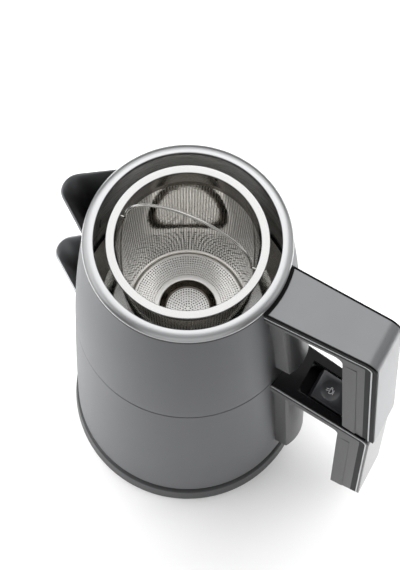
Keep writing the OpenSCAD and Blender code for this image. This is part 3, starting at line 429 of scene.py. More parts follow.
def cut(piece: Piece, *tools: Piece, keep: bool = False) -> None:
    """Cut tools out of a piece.

    Args:
        piece: The piece.
        *tools: The tools, one after the other.
        keep: Whether the tools stay for another cut.
    """
    for tool in tools:
        modify(piece, "BOOLEAN", operation="DIFFERENCE", solver="EXACT", object=tool)
        if not keep:
            bpy.data.objects.remove(tool)


def joined(name: str, parts: Sequence[Piece]) -> Piece:
    """Join parts into one piece.

    Args:
        name: The piece's name.
        parts: The parts.

    Returns:
        The piece.
    """
    only(parts[0])
    for part in parts:
        part.select_set(True)
    bpy.ops.object.join()
    parts[0].name = parts[0].data.name = name
    return parts[0]


def points_of(piece: Piece) -> np.ndarray:
    """Return the piece's points as rows of x, y and z."""
    flat = np.zeros(len(piece.data.vertices) * 3)
    piece.data.vertices.foreach_get("co", flat)
    return flat.reshape(-1, 3)


def set_points(piece: Piece, points: np.ndarray) -> None:
    """Move the piece's points to new places."""
    piece.data.vertices.foreach_set("co", np.ascontiguousarray(points, float).ravel())
    piece.data.update()


def loop(name: str, points: Sequence[Sequence[float]]) -> Piece:
    """Make a closed loop of edges through points in millimetres."""
    piece = add(bpy.ops.mesh.primitive_circle_add, name, vertices=len(points), radius=1.0, fill_type="NOTHING")
    set_points(piece, np.array(points) * MM)
    return piece


def revolve(name: str, profile: Profile, steps: int = 180, angle: float = 30.0) -> Piece:
    """Turn a closed profile round the upright axis.

    Args:
        name: The piece's name.
        profile: Radius and height of each corner, in millimetres.
        steps: Steps of the full turn.
        angle: Edges sharper than this stay sharp, in degrees.

    Returns:
        The new closed solid.
    """
    piece = loop(name, [(r, 0.0, z) for r, z in profile])
    edit(piece, lambda: bpy.ops.mesh.spin(steps=steps, angle=FULL_TURN, center=(0, 0, 0), axis=(0, 0, 1)))
    merge(piece)
    face_out(piece)
    smooth(piece, angle)
    return piece


def lofted(name: str, points: np.ndarray, per_row: int) -> Piece:
    """Lay an open sheet through rows of points.

    Args:
        name: The piece's name.
        points: The points in millimetres, row after row.
        per_row: How many points a row has.

    Returns:
        The sheet, with its faces all turned one way.
    """
    piece = add(bpy.ops.mesh.primitive_grid_add, name, x_subdivisions=per_row - 1,
                y_subdivisions=len(points) // per_row - 1)
    grid = points_of(piece)
    order = np.lexsort((np.round(grid[:, 0], 5), np.round(grid[:, 1], 5)))
    places = np.empty_like(grid)
    places[order] = points * MM
    set_points(piece, places)
    face_out(piece)
    return piece


def arc(centre: Point, radius: float, start: float, end: float, steps: int = 8) -> Profile:
    """Return the points of an arc, with its angles in degrees."""
    turns = [math.radians(start + (end - start) * i / steps) for i in range(steps + 1)]
    return [(centre[0] + radius * math.cos(a), centre[1] + radius * math.sin(a)) for a in turns]


def round_edges(piece: Piece, chosen: Callable[[bmesh.types.BMEdge], bool], radius: float, steps: int) -> None:
    """Round some of a piece's edges.

    Args:
        piece: The piece.
        chosen: The test of an edge.
        radius: The rounding, in millimetres.
        steps: Steps of the rounding.
    """

    def bevel() -> None:
        """Select the chosen edges and bevel them."""
        mesh = bmesh.from_edit_mesh(piece.data)
        for edge in mesh.edges:
            edge.select_set(chosen(edge))
        bmesh.update_edit_mesh(piece.data)
        bpy.ops.mesh.bevel(offset=radius * MM, segments=steps, affect="EDGES")

    edit(piece, bevel)


def rounded_plate(name: str, x0: float, x1: float, half_w: float, corner: float, z0: float, z1: float,
                  edge: float = 0.0, steps: int = 6) -> Piece:
    """Make a plate with round corners and softened edges, in millimetres.

    Args:
        name: The piece's name.
        x0: Its end towards the axis.
        x1: Its far end.
        half_w: Half of its width.
        corner: Radius of its corners.
        z0: Its underside.
        z1: Its top.
        edge: Rounding of its top edge.
        steps: Steps of its corners.

    Returns:
        The new closed solid.
    """
    piece = add(bpy.ops.mesh.primitive_cube_add, name, size=1.0)
    middle = np.array([(x0 + x1) / 2, 0.0, (z0 + z1) / 2])
    set_points(piece, (points_of(piece) * np.array([x1 - x0, 2 * half_w, z1 - z0]) + middle) * MM)
    round_edges(piece, lambda e: abs(e.verts[0].co.z - e.verts[1].co.z) > LEVEL, corner, steps)
    if edge:
        round_edges(piece, lambda e: all(abs(v.co.z - z1 * MM) < LEVEL for v in e.verts)
                    and sum(abs(f.normal.z) > 0.9 for f in e.link_faces) == 1, edge, 3)
    smooth(piece)
    return piece


def put(piece: Piece, body: Body, slot: str, finish: Finish, *replaces: str) -> None:
    """Dress a finished piece and fix it to its body.

    Args:
        piece: The piece, in place.
        body: The body that it rides on.
        slot: The record's material slot; not used.
        finish: Its finish.
        *replaces: CAD nodes that it stands for.
    """
    piece.data.materials.clear()
    piece.data.materials.append(material_of(finish))
    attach(piece, body.value)
    if replaces:
        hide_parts(*replaces)
    LOG.info("made %s for %s with %d faces", piece.name, body.value, len(piece.data.polygons))


@dataclass
class Vessel:
    """A tier's steel skin: its place, its taper and its fullness, all in millimetres."""

    z0: float
    height: float
    bottom_r: float
    top_r: float
    bulge: float
    skin_t: float = 1.0
    wall_gap: float = 0.6
    liner_t: float = 1.0
    soft: float = 0.25

    def skin(self, z: float) -> float:
        """Return the skin's outer radius at a height."""
        t = (z - self.z0) / self.height
        return self.bottom_r + (self.top_r - self.bottom_r) * t + 4 * self.bulge * t * (1 - t)

    def side(self, z0: float, z1: float, inset: float = 0.0, steps: int = 36) -> Profile:
        """Return points of the side between two heights, set in from the skin."""
        return [(self.skin(z) - inset, z) for z in (z0 + (z1 - z0) * i / steps for i in range(steps + 1))]

    def wall(self, name: str, top: float) -> Piece:
        """Turn the skin from its foot up to a height.

        Args:
            name: The piece's name.
            top: The height.

        Returns:
            The wall, with soft edges.
        """
        soft, thick, foot = self.soft, self.skin_t, self.z0
        profile = self.side(foot + soft, top - soft)
        profile += [(self.skin(top) - soft, top), (self.skin(top) - thick + soft, top)]
        profile += self.side(top - soft, foot + soft, thick)
        profile += [(self.skin(foot) - thick + soft, foot), (self.skin(foot) - soft, foot)]
        return revolve(name, profile, 240)


@dataclass
class Shells:
    """The two tiers' outer skins and the turned rim, in millimetres.

    A window into a spout is given by its upper edge and its height.
    """

    kettle: Vessel = field(default_factory=lambda: Vessel(z0=20.0, height=165.5, bottom_r=80.7, top_r=72.0, bulge=0.5))
    pot: Vessel = field(default_factory=lambda: Vessel(z0=186.9, height=122.1, bottom_r=72.0, top_r=59.8, bulge=1.3))
    pot_top: float = 309.0
    shell_top: float = 303.1
    rim_inner_r: float = 54.0
    rim_flat: float = 3.0
    roll_r: float = 3.9
    land: float = 0.9
    lip: float = 2.5
    skirt: float = 3.1
    edge_r: float = 0.6
    seal_z: Point = (206.6, 207.6)
    seal_gap: float = 0.1
    bead_w: float = 1.7
    bead_drop: float = 1.4
    # The black gasket under the rim, which also paints the rim's shadow line
    shadow_gasket_r: float = 60.72
    shadow_gasket_w: float = 2.2
    kettle_window: Point = (178.5, 11.0)
    pot_window: Point = (297.5, 10.0)
    window_w: float = 30.0
    window_corner: float = 4.0
    window_depth: float = 24.0

    def rim(self) -> Piece:
        """Turn the rolled rim, whose top falls in one curve from its inner land to its skirt.

        Returns:
            The rim.
        """
        z, shoulder = self.pot_top, self.rim_inner_r + self.rim_flat
        out, land = shoulder + self.roll_r, self.rim_inner_r + self.land
        profile = [(self.rim_inner_r, z - self.lip), (shoulder, z - self.skirt)]
        low = math.degrees(math.asin(1 - self.skirt / self.roll_r))
        profile += [(land + (out - land) * x, z - self.roll_r * (1 - y)) for x, y in arc((0, 0), 1.0, low, 90, 24)]
        profile += arc((self.rim_inner_r + self.edge_r, z - self.edge_r), self.edge_r, 90, 180, 6)
        return revolve("rolled_rim", profile, 240, 24)

    def gasket(self) -> Piece:
        """Turn the black gasket between the rim and the skin, standing out far enough to paint the shadow line there as
        well.
        """
        outer, low, high = self.shadow_gasket_r, self.shell_top, self.pot_top - self.skirt
        inner = outer - self.shadow_gasket_w
        return revolve("rim_gasket_shadow_band", [(inner, low), (outer, low), (outer, high), (inner, high)], 240, 40)

    def bead(self) -> Piece:
        """Turn the pan's seal with the black bead that stands out under the liner's lower edge.

        Returns:
            The seal.
        """
        z0, z1 = self.seal_z
        inner = self.pot.skin(z0) - self.pot.skin_t - self.pot.wall_gap - self.pot.liner_t
        outer = self.pot.skin(z0) - self.pot.skin_t - self.seal_gap
        profile = [(outer, z0), (outer, z1), (inner, z1)]
        profile += [(inner - x * self.bead_w, z0 + (z1 - z0 + self.bead_drop) * (0.5 + y / 2))
                    for x, y in arc((0, 0), 1.0, 90, -90, 10)]
        return revolve("pan_seal_bead", profile, 240, 40)

    def window(self, radius: float, z_top: float, height: float) -> Piece:
        """Make the tool that cuts a window with round corners through the wall on the spouts' side.

        Args:
            radius: The wall's radius.
            z_top: The window's upper edge.
            height: Its height.

        Returns:
            The tool.
        """
        half, deep = height / 2, self.window_depth / 2
        tool = rounded_plate("window_tool", -half, half, self.window_w / 2, self.window_corner, -deep, deep)
        points = points_of(tool)
        moved = np.stack([points[:, 2] - radius * MM, points[:, 1], points[:, 0] + (z_top - half) * MM], 1)
        set_points(tool, moved)
        face_out(tool)
        return tool

    def build(self) -> None:
        """Make the skins and the rim."""
        tiers = ((self.kettle, self.kettle.z0 + self.kettle.height, self.kettle_window, Body.KETTLE),
                 (self.pot, self.shell_top, self.pot_window, Body.TEAPOT))
        for vessel, top, window, body in tiers:
            piece = vessel.wall(f"{body.value}_skin", top)
            cut(piece, self.window(vessel.top_r, *window))
            smooth(piece)
            put(piece, body, "satin_steel", SHELL_STEEL, f"{body.value}_shell")
        put(self.rim(), Body.TEAPOT, "rim_steel", RIM_STEEL, "teapot_rim")
        put(self.bead(), Body.TEAPOT, "black_rubber", RUBBER, "pan_seal")
        put(self.gasket(), Body.TEAPOT, "black_rubber", RUBBER, "rim_gasket")


@dataclass
class Spout:
    """A sheet beak: its reach, its lip and the keel that runs into the body's side, in millimetres."""

    body: Body
    vessel: Vessel
    lip_z: float
    reach: float
    height: float
    fall: float
    half_angle: float = 34.0
    tip_r: float = 11.0
    tip_fall: float = 0.35
    power: float = 1.8
    flare: float = 2.6
    flare_power: float = 12.0
    sunk: float = 0.5
    least_side: float = 0.02
    sheet: float = 1.2
    soft: float = 0.3
    rows: int = 26
    keel_end: float = 0.985
    arc_steps: int = 18

    def row(self, s: float) -> list[tuple[float, float, float]]:
        """Return one level line of the beak's outside, from the body round the tip and back.

        Args:
            s: Share of the beak's height, from the lip down.

        Returns:
            Points in millimetres.
        """
        z = self.lip_z - self.height * s
        lip_r = self.vessel.skin(self.lip_z)
        reach = self.vessel.skin(z) + (self.reach - lip_r - self.flare) * (1 - s) ** self.power
        reach += self.flare * (1 - s) ** self.flare_power
        tip = self.tip_r * (1 - self.tip_fall * s)
        half = math.radians(self.half_angle)
        body_r = self.vessel.skin(z) - self.sunk
        line = [(tip - reach + tip * math.cos(a), tip * math.sin(a))
                for a in (math.radians(90 + self.half_angle + (180 - 2 * self.half_angle) * i / self.arc_steps)
                          for i in range(self.arc_steps + 1))]
        start, way = line[0], (math.cos(half), math.sin(half))
        # The straight sides run on from the tip to the circle of the body
        b = start[0] * way[0] + start[1] * way[1]
        gap = b * b - (start[0] ** 2 + start[1] ** 2 - body_r**2)
        run = max(-b - math.sqrt(gap) if gap > 0 else 0.0, self.least_side)
        sides = [(start[0] + way[0] * run * k / 3, start[1] + way[1] * run * k / 3) for k in (3, 2, 1)]
        flat = sides + line + [(x, -y) for x, y in reversed(sides)]
        return [(x, y, z - self.fall * (1 - s) * (-x - lip_r)) for x, y in flat]

    def build(self) -> None:
        """Shape the beak from a grid, give it its sheet's thickness and soften its lip."""
        # The keel runs out on the body's side, so the last rows stop just short of its end
        rows = [self.row(self.keel_end * i / self.rows) for i in range(self.rows + 1)]
        piece = lofted(f"{self.body.value}_beak", np.array([p for row in rows for p in row]), len(rows[0]))
        if piece.data.polygons[len(piece.data.polygons) // 2].normal.x > 0:
            flip(piece)
        modify(piece, "SOLIDIFY", thickness=self.sheet * MM, offset=-1.0, use_even_offset=True)
        soften(piece, self.soft, 60)
        smooth(piece, 40)
        # The beak's steel is painted lighter than the shell: painted light for its shaded inside
        put(piece, self.body, "spout_steel", PAINTED_LIGHT_SPOUT_STEEL, f"{self.body.value}_spout")


@dataclass
class Basket:
    """The tea basket: its conical perforated wall, its stepped perforated floor and the plain bands between."""

    floor_z: float = 191.4
    foot_z: float = 183.3
    wall_top: float = 294.8
    floor_r: float = 36.7
    collar_r: float = 42.1
    sheet: float = 0.8
    slip: float = 0.05
    columns: int = 148
    rows: int = 56
    row_pitch: float = 1.68
    first_row_z: float = 196.6
    hole_share: float = 0.64
    floor_columns: int = 126
    floor_rings: int = 9
    floor_pitch: float = 1.52
    floor_first_r: float = 21.0
    border_turn_r: float = 1.4
    border_drop: float = 3.0
    well_r: float = 19.2
    well_disc_r: float = 14.2
    well_depth: float = 3.6
    well_lip_r: float = 1.1
    well_lean: float = 0.3
    # Steps across and down through the sheet at the well's lip, and out from its disc above and below
    well_wall: Point = (0.6, 0.5)
    well_foot: Point = (0.1, 0.5)
    disc_rings: int = 8
    disc_pitch: float = 1.62
    flange_z: float = 307.3
    flange_r: float = 47.1
    flange_t: float = 1.2
    flange_lip: float = 2.0
    flange_soft: float = 0.5
    pin_z: float = 304.6
    pin_turn: float = 6.0
    pin_hole_r: float = 1.05
    pin_hole_l: float = 6.0

    def radius(self, z: float | np.ndarray) -> float | np.ndarray:
        """Return the wall's inner radius at a height."""
        return self.floor_r + (self.collar_r - self.floor_r) * (z - self.floor_z) / (self.wall_top - self.floor_z)

    def cell(self, name: str, across: int, up: int) -> Piece:
        """Make a flat sheet of unit cells, each with a six-cornered hole.

        Args:
            name: The sheet's name.
            across: Cells across.
            up: Cells up.

        Returns:
            The sheet, from 0 to across and from 0 to up.
        """
        piece = add(bpy.ops.mesh.primitive_circle_add, name, vertices=6, radius=0.5, fill_type="NGON")
        turns = [math.radians(a) for a in (90, 150, 210, 270, 330, 30)]
        edge = [(0.0, 0.5), (-0.5, 0.5), (-0.5, -0.5), (0.0, -0.5), (0.5, -0.5), (0.5, 0.5)]
        start = np.argmax(points_of(piece)[:, 1])
        set_points(piece, np.array([edge[(i - start) % 6] + (0.0,) for i in range(6)]))
        edit(piece, lambda: bpy.ops.mesh.inset(thickness=0.1))
        inner, border = self.hole_share / 2, 0.499
        points = points_of(piece)
        for i, point in enumerate(points):
            if max(abs(point[0]), abs(point[1])) < border:
                near = max(range(6), key=lambda k: np.dot(point[:2], edge[k]) / np.linalg.norm(edge[k]))
                points[i] = (inner * math.cos(turns[near]), inner * math.sin(turns[near]), 0.0)
        set_points(piece, points)

        def open_hole() -> None:
            """Delete the face in the hole."""
            mesh = bmesh.from_edit_mesh(piece.data)
            for face in mesh.faces:
                face.select_set(len(face.verts) == 6)
            bmesh.update_edit_mesh(piece.data)
            bpy.ops.mesh.delete(type="FACE")

        edit(piece, open_hole)
        set_points(piece, points_of(piece) + np.array([0.5, 0.5, 0.0]))
        for count, way in ((across, (1.0, 0.0, 0.0)), (up, (0.0, 1.0, 0.0))):
            if count > 1:
                modify(piece, "ARRAY", count=count, use_relative_offset=False, use_constant_offset=True,
                       constant_offset_displace=way, use_merge_vertices=True, merge_threshold=1e-4)
        return piece

    def wrap(self, piece: Piece, radius: np.ndarray, turn: np.ndarray, z: np.ndarray, side: float) -> None:
        """Wrap a flat sheet round the axis and give it its thickness.

        Args:
            piece: The flat sheet.
            radius: The new radius of each of its points, in millimetres.
            turn: The new angle of each, in radians.
            z: The new height of each, in millimetres.
            side: 1 to thicken it outwards and -1 to thicken it inwards.
        """
        set_points(piece, np.stack([radius * np.cos(turn), radius * np.sin(turn), z], 1) * MM)
        merge(piece)
        modify(piece, "SOLIDIFY", thickness=self.sheet * MM, offset=side)
        smooth(piece, 35)

    def mesh_wall(self) -> None:
        """Wrap two perforated sheets onto the cone, one for each half of the wall."""
        half = self.columns // 2
        for index, name in enumerate(("basket_mesh_east", "basket_mesh_west")):
            piece = self.cell(name, half, self.rows)
            flat = points_of(piece)
            z = self.first_row_z + flat[:, 1] * self.row_pitch
            self.wrap(piece, self.radius(z), FULL_TURN * (flat[:, 0] + index * half) / self.columns, z, 1.0)
            put(piece, Body.BASKET, "basket_steel", BASKET_STEEL, "basket_wall")

    def polar(self, name: str, columns: int, radii: Sequence[float], z: float) -> Piece:
        """Wrap a perforated sheet onto a flat ring.

        Args:
            name: The sheet's name.
            columns: Holes round the ring.
            radii: The borders between its rows of holes.
            z: The ring's upper face.

        Returns:
            The thick ring.
        """
        piece = self.cell(name, columns, len(radii) - 1)
        flat = points_of(piece)
        radius = np.interp(flat[:, 1], range(len(radii)), radii)
        self.wrap(piece, radius, -FULL_TURN * flat[:, 0] / columns, np.full(len(flat), z), -1.0)
        return piece

    def mesh_floor(self) -> None:
        """Make the floor's perforated ring and the perforated disc in its well."""
        radii = [self.floor_first_r + self.floor_pitch * i for i in range(self.floor_rings + 1)]
        ring = self.polar("basket_floor_ring", self.floor_columns, radii, self.floor_z)
        put(ring, Body.BASKET, "basket_steel", FLOOR_STEEL, "basket_floor")
        disc_z = self.floor_z - self.well_depth
        rings = [self.polar(f"disc_ring_{k}", 6 * k, [(k - 0.5) * self.disc_pitch, (k + 0.5) * self.disc_pitch], disc_z)
                 for k in range(1, self.disc_rings + 1)]
        put(joined("basket_floor_disc", rings), Body.BASKET, "basket_steel", FLOOR_STEEL, "basket_floor")

    def collar(self) -> None:
        """Turn the flange and the collar under it, with four holes for the wire handle."""
        inner, outer, z, t, soft = self.collar_r, self.flange_r, self.flange_z, self.flange_t, self.flange_soft
        low = z - self.flange_lip
        flange = [(inner + soft, z - t), (outer - t, z - t), (outer - t, low), (outer, low)]
        flange += arc((outer - soft, z - soft), soft, 0, 90, 6) + arc((inner + soft, z - soft), soft, 90, 180, 6)
        put(revolve("basket_flange", flange), Body.BASKET, "basket_steel", BASKET_RIM_STEEL, "basket_rim")
        ring = [(inner, self.wall_top), (inner + t, self.wall_top), (inner + t, z - t), (inner, z - t)]
        piece = revolve("basket_collar", ring)
        for quarter in range(4):
            turn = math.radians(self.pin_turn + 90 * quarter)
            tool = add(bpy.ops.mesh.primitive_cylinder_add, "pin_tool", vertices=24, radius=self.pin_hole_r * MM,
                       depth=self.pin_hole_l * MM)
            place = Matrix.Translation((inner * math.cos(turn) * MM, inner * math.sin(turn) * MM, self.pin_z * MM))
            tool.data.transform(place @ Matrix.Rotation(turn, 4, "Z") @ Matrix.Rotation(math.pi / 2, 4, "Y"))
            cut(piece, tool)
        smooth(piece)
        # The collar's dark steel is painted dark reflection
        put(piece, Body.BASKET, "basket_steel", PAINTED_DARK_REFLECTION_STEEL, "basket_rim")

    def bands(self) -> None:
        """Turn the plain bands: above and below the wall's holes, round the floor's ring and down into the well."""
        t, z, lip_r, turn_r = self.sheet, self.floor_z, self.well_lip_r, self.border_turn_r
        last = self.first_row_z + self.rows * self.row_pitch
        # The top band's dark steel is painted dark reflection
        for name, z0, z1, finish in (("basket_top_band", last, self.wall_top, PAINTED_DARK_REFLECTION_STEEL),
                                     ("basket_low_band", self.foot_z, self.first_row_z, BASKET_STEEL)):
            r0, r1 = self.radius(z0), self.radius(z1)
            profile = [(r0, z0), (r0 + t, z0), (r1 + t, z1), (r1, z1)]
            put(revolve(name, profile, self.columns), Body.BASKET, "basket_steel", finish, "basket_wall")
        outer = self.floor_first_r + self.floor_rings * self.floor_pitch
        wall_r, foot_z = self.floor_r - self.slip, z - self.border_drop
        foot_r = self.radius(foot_z) - self.slip
        border = [(outer, z - t), (outer, z)] + arc((wall_r - turn_r, z - turn_r), turn_r, 90, 0, 6)
        border += [(foot_r, foot_z), (foot_r - t, foot_z)] + arc((wall_r - turn_r, z - turn_r), turn_r - t, 0, 90, 6)
        well_z = z - self.well_depth
        turn = arc((self.well_r - self.well_lean, z - lip_r), lip_r, 90, 140, 5)
        under = (turn[-1][0] + self.well_wall[0], turn[-1][1] - self.well_wall[1])
        lip = [(self.floor_first_r, z), *turn, under, (self.floor_first_r, z - t)]
        foot = arc((self.well_disc_r + self.well_foot[0], well_z + lip_r), lip_r, -40, -90, 5)
        edge_r, hub_r = (self.disc_rings + 0.5) * self.disc_pitch, 0.5 * self.disc_pitch
        well = [turn[-1], *foot, (edge_r, well_z), (edge_r, well_z - t),
                (self.well_disc_r + self.well_foot[1], well_z - t), under]
        hub = [(0.0, well_z - t), (hub_r, well_z - t), (hub_r, well_z), (0.0, well_z)]
        for name, profile in (("floor_border", border), ("floor_lip", lip), ("well", well), ("floor_hub", hub)):
            piece = revolve(f"basket_{name}", profile, self.floor_columns)
            # The well's steep sheet takes the dark steel that paints its dark reflection
            finish = PAINTED_DARK_REFLECTION_STEEL if profile is well else FLOOR_STEEL
            put(piece, Body.BASKET, "basket_steel", finish, "basket_floor")

    def build(self) -> None:
        """Make all of the basket's sheet."""
        self.mesh_wall()
        self.mesh_floor()
        self.collar()
        self.bands()


@dataclass
class Arm:
    """The line of a layered handle in side view and its width, all in millimetres and degrees."""

    vessel: Vessel
    corner: Point
    slope: float
    lean: float
    drop: float
    root: float
    half_w: float
    corner_r: float = 9.0
    taper: float = 0.026
    taper_from: float = 72.0
    soft: float = 0.25
    start: Point = (72.0, 183.0)
    arm_slope: float = 18.0
    headroom: float = 9.0
    end_gap: float | None = None

    def line(self, depth: float) -> Profile:
        """Draw the outer line along the arm, round the corner and down the grip.

        Args:
            depth: How far it is set in.

        Returns:
            Its points in side view.
        """
        slope, lean = math.radians(self.slope), math.radians(self.lean)
        r = self.corner_r - depth
        x, z = self.corner
        run = (x - self.root) / math.cos(slope)
        first = (x + r * math.sin(slope) - run * math.cos(slope), z + r * math.cos(slope) + run * math.sin(slope))
        low = self.drop
        last = (x + r * math.cos(lean) + low * math.sin(lean), z + r * math.sin(lean) - low * math.cos(lean))
        return [first] + arc(self.corner, r, 90 - self.slope, self.lean, 14) + [last]

    def plane(self, lift: float) -> tuple[tuple[float, float, float], tuple[float, float, float]]:
        """Find a level over the sloping arm.

        Args:
            lift: Its height over the arm.

        Returns:
            A point on it, in metres, and the arm's upward direction.
        """
        tilt = math.radians(self.arm_slope)
        up = (math.sin(tilt), 0.0, math.cos(tilt))
        return ((self.start[0] + lift * up[0]) * MM, 0.0, (self.start[1] + lift * up[2]) * MM), up

    def layer(self, name: str, top: float, under: float, wider: float, shorter: float = 0.0) -> Piece:
        """Draw one layer of the handle out to its width.

        Args:
            name: The piece's name.
            top: Depth of its upper face under the outer line.
            under: Depth of its lower face.
            wider: How far its sides stand out past the handle's half width.
            shorter: How much higher it ends than the grip.

        Returns:
            The new layer, not yet cut to the body.
        """
        outline = self.line(top) + self.line(under)[::-1]
        piece = loop(name, [(x, -1.0, z) for x, z in outline])

        def draw() -> None:
            """Fill the outline and extrude it."""
            bpy.ops.mesh.edge_face_add()
            bpy.ops.mesh.extrude_region_move(TRANSFORM_OT_translate={"value": (0.0, 2 * MM, 0.0)})

        edit(piece, draw)
        face_out(piece)
        points = points_of(piece)
        points[:, 1] *= self.half_w + wider - self.taper * (points[:, 0] / MM - self.taper_from)
        set_points(piece, points)
        if self.end_gap is not None:
            point, up = self.plane(self.end_gap + shorter)
            edit(piece, lambda: bpy.ops.mesh.bisect(plane_co=point, plane_no=up, use_fill=True, clear_inner=True))
        return piece

    def core(self) -> Piece:
        """Turn the tool that takes the body's room out of the layers."""
        z0, z1 = self.vessel.z0, self.vessel.z0 + self.vessel.height
        top = [(self.vessel.skin(z1), z1 + self.headroom), (0.0, z1 + self.headroom)]
        return revolve("core_tool", [(0.0, z0)] + self.vessel.side(z0, z1) + top, 240)

    def trim(self, piece: Piece, *tools: Piece) -> Piece:
        """Cut tools out of a layer and soften its edges.

        Args:
            piece: The layer.
            *tools: The tools, which stay.

        Returns:
            The layer.
        """
        cut(piece, *tools, keep=True)
        soften(piece, self.soft, 40)
        smooth(piece, 20)
        return piece

    def place(self, points: np.ndarray) -> np.ndarray:
        """Lay points from the flat onto the sloping arm.

        Args:
            points: Rows along the arm, across it and up from it, in millimetres.

        Returns:
            The same points on the arm.
        """
        tilt = math.radians(self.arm_slope)
        x = self.start[0] + points[:, 0] * math.cos(tilt) + points[:, 2] * math.sin(tilt)
        z = self.start[1] - points[:, 0] * math.sin(tilt) + points[:, 2] * math.cos(tilt)
        return np.stack([x, points[:, 1], z], 1)


@dataclass
class Handles:
    """Both handles' layers: plate, borders, light lines and the matt black strips that paint the shadow under them, in
    millimetres.

    The key's well has its two ends, half width and corners, and each tool in its shape an inset and a depth.
    """

    pot: Arm
    kettle: Arm
    plate_t: float = 1.2
    border: float = 1.3
    rim_r: float = 62.7
    rim_tool_z: float = 290.0
    rim_tool_l: float = 60.0
    bezel: Point = (0.4, 3.4)
    line_t: float = 0.9
    line_proud: float = 0.25
    # The black strips under the light lines paint their shadow: how far they stand out, and how thick they are
    shadow_strip_proud: float = 0.1
    pot_shadow_strip: float = 3.6
    pot_shorter: float = 0.3
    kettle_shadow_strip: float = 4.0
    gloss_t: float = 1.6
    well: tuple[float, float, float, float] = (15.2, 50.15, 11.2, 5.0)
    well_top: float = 3.0
    mouth: Point = (0.0, 8.0)
    lining: Point = (0.55, 12.9)
    lining_room: Point = (0.85, 12.6)

    def under(self, arm: Arm, body: Body, top: float, shadow_t: float, shorter: float, *tools: Piece) -> None:
        """Add the light line under a handle's top, and under it a matt black strip of painted shadow.

        Args:
            arm: The handle's line.
            body: The body that they ride on.
            top: Depth of the light line's upper face.
            shadow_t: Thickness of the black strip of painted shadow.
            shorter: How much higher the shadow strip ends than the grip.
            *tools: What is cut out of both.
        """
        low = top + self.line_t
        line = arm.trim(arm.layer(f"{body.value}_light_line", top, low, self.line_proud), *tools)
        put(line, body, "trim_chrome", TRIM_CHROME, f"{body.value}_handle_trim")
        # A matt black strip under the light line paints the shadow line there
        dark = arm.trim(arm.layer(f"{body.value}_painted_shadow_strip", low, low + shadow_t, self.shadow_strip_proud, shorter), *tools)
        put(dark, body, "gloss_black", MATT_BLACK)
        for tool in tools:
            bpy.data.objects.remove(tool)

    def teapot(self) -> None:
        """Build the teapot handle's layers, whose plate ends in a round edge beside the rim."""
        arm, core = self.pot, self.pot.core()
        round_end = add(bpy.ops.mesh.primitive_cylinder_add, "round_end_tool", vertices=240, radius=self.rim_r * MM,
                        depth=self.rim_tool_l * MM)
        set_points(round_end, points_of(round_end) + np.array([0.0, 0.0, self.rim_tool_z * MM]))
        plate = arm.layer("teapot_grey_plate", 0.0, self.plate_t, -self.border)
        cut(plate, round_end)
        edge = arm.trim(arm.layer("teapot_black_border", *self.bezel, 0.0), core, plate)
        put(arm.trim(plate, core), Body.TEAPOT, "plate_grey", PLATE_GREY, "teapot_handle_cover")
        put(edge, Body.TEAPOT, "gloss_black", MATT_BLACK, "teapot_handle_bezel")
        self.under(arm, Body.TEAPOT, self.bezel[1], self.pot_shadow_strip, self.pot_shorter, core)

    def well_tool(self, name: str, inset: float, depth: float) -> Piece:
        """Make a tool in the shape of the key's well.

        Args:
            name: The tool's name.
            inset: How far its sides are set in.
            depth: How far it reaches down from the arm's top.

        Returns:
            The tool, on the arm.
        """
        x0, x1, half, corner = self.well
        tool = rounded_plate(name, x0 + inset, x1 - inset, half - inset, corner - inset, -depth, self.well_top, steps=8)
        set_points(tool, self.kettle.place(points_of(tool) / MM) * MM)
        return tool

    def kettle_layers(self) -> None:
        """Build the kettle handle's layers round the key's well, and the well's lining."""
        arm, core, mouth = self.kettle, self.kettle.core(), self.well_tool("well_tool", *self.mouth)
        top = arm.trim(arm.layer("kettle_gloss_top", 0.0, self.gloss_t, 0.0), core, mouth)
        put(top, Body.KETTLE, "gloss_black", GLOSS_BLACK, "kettle_handle_cover")
        self.under(arm, Body.KETTLE, self.gloss_t, self.kettle_shadow_strip, 0.0, core, mouth)
        lining = self.well_tool("key_well_lining", *self.lining)
        room = self.well_tool("well_tool", *self.lining_room)
        point, up = arm.plane(-(self.gloss_t + self.line_t))
        edit(lining, lambda: bpy.ops.mesh.bisect(plane_co=point, plane_no=up, use_fill=True, clear_outer=True))
        cut(lining, room)
        smooth(lining, 35)
        put(lining, Body.KETTLE, "gloss_black", MATT_BLACK)

    def build(self) -> None:
        """Build both handles' layers."""
        self.teapot()
        self.kettle_layers()


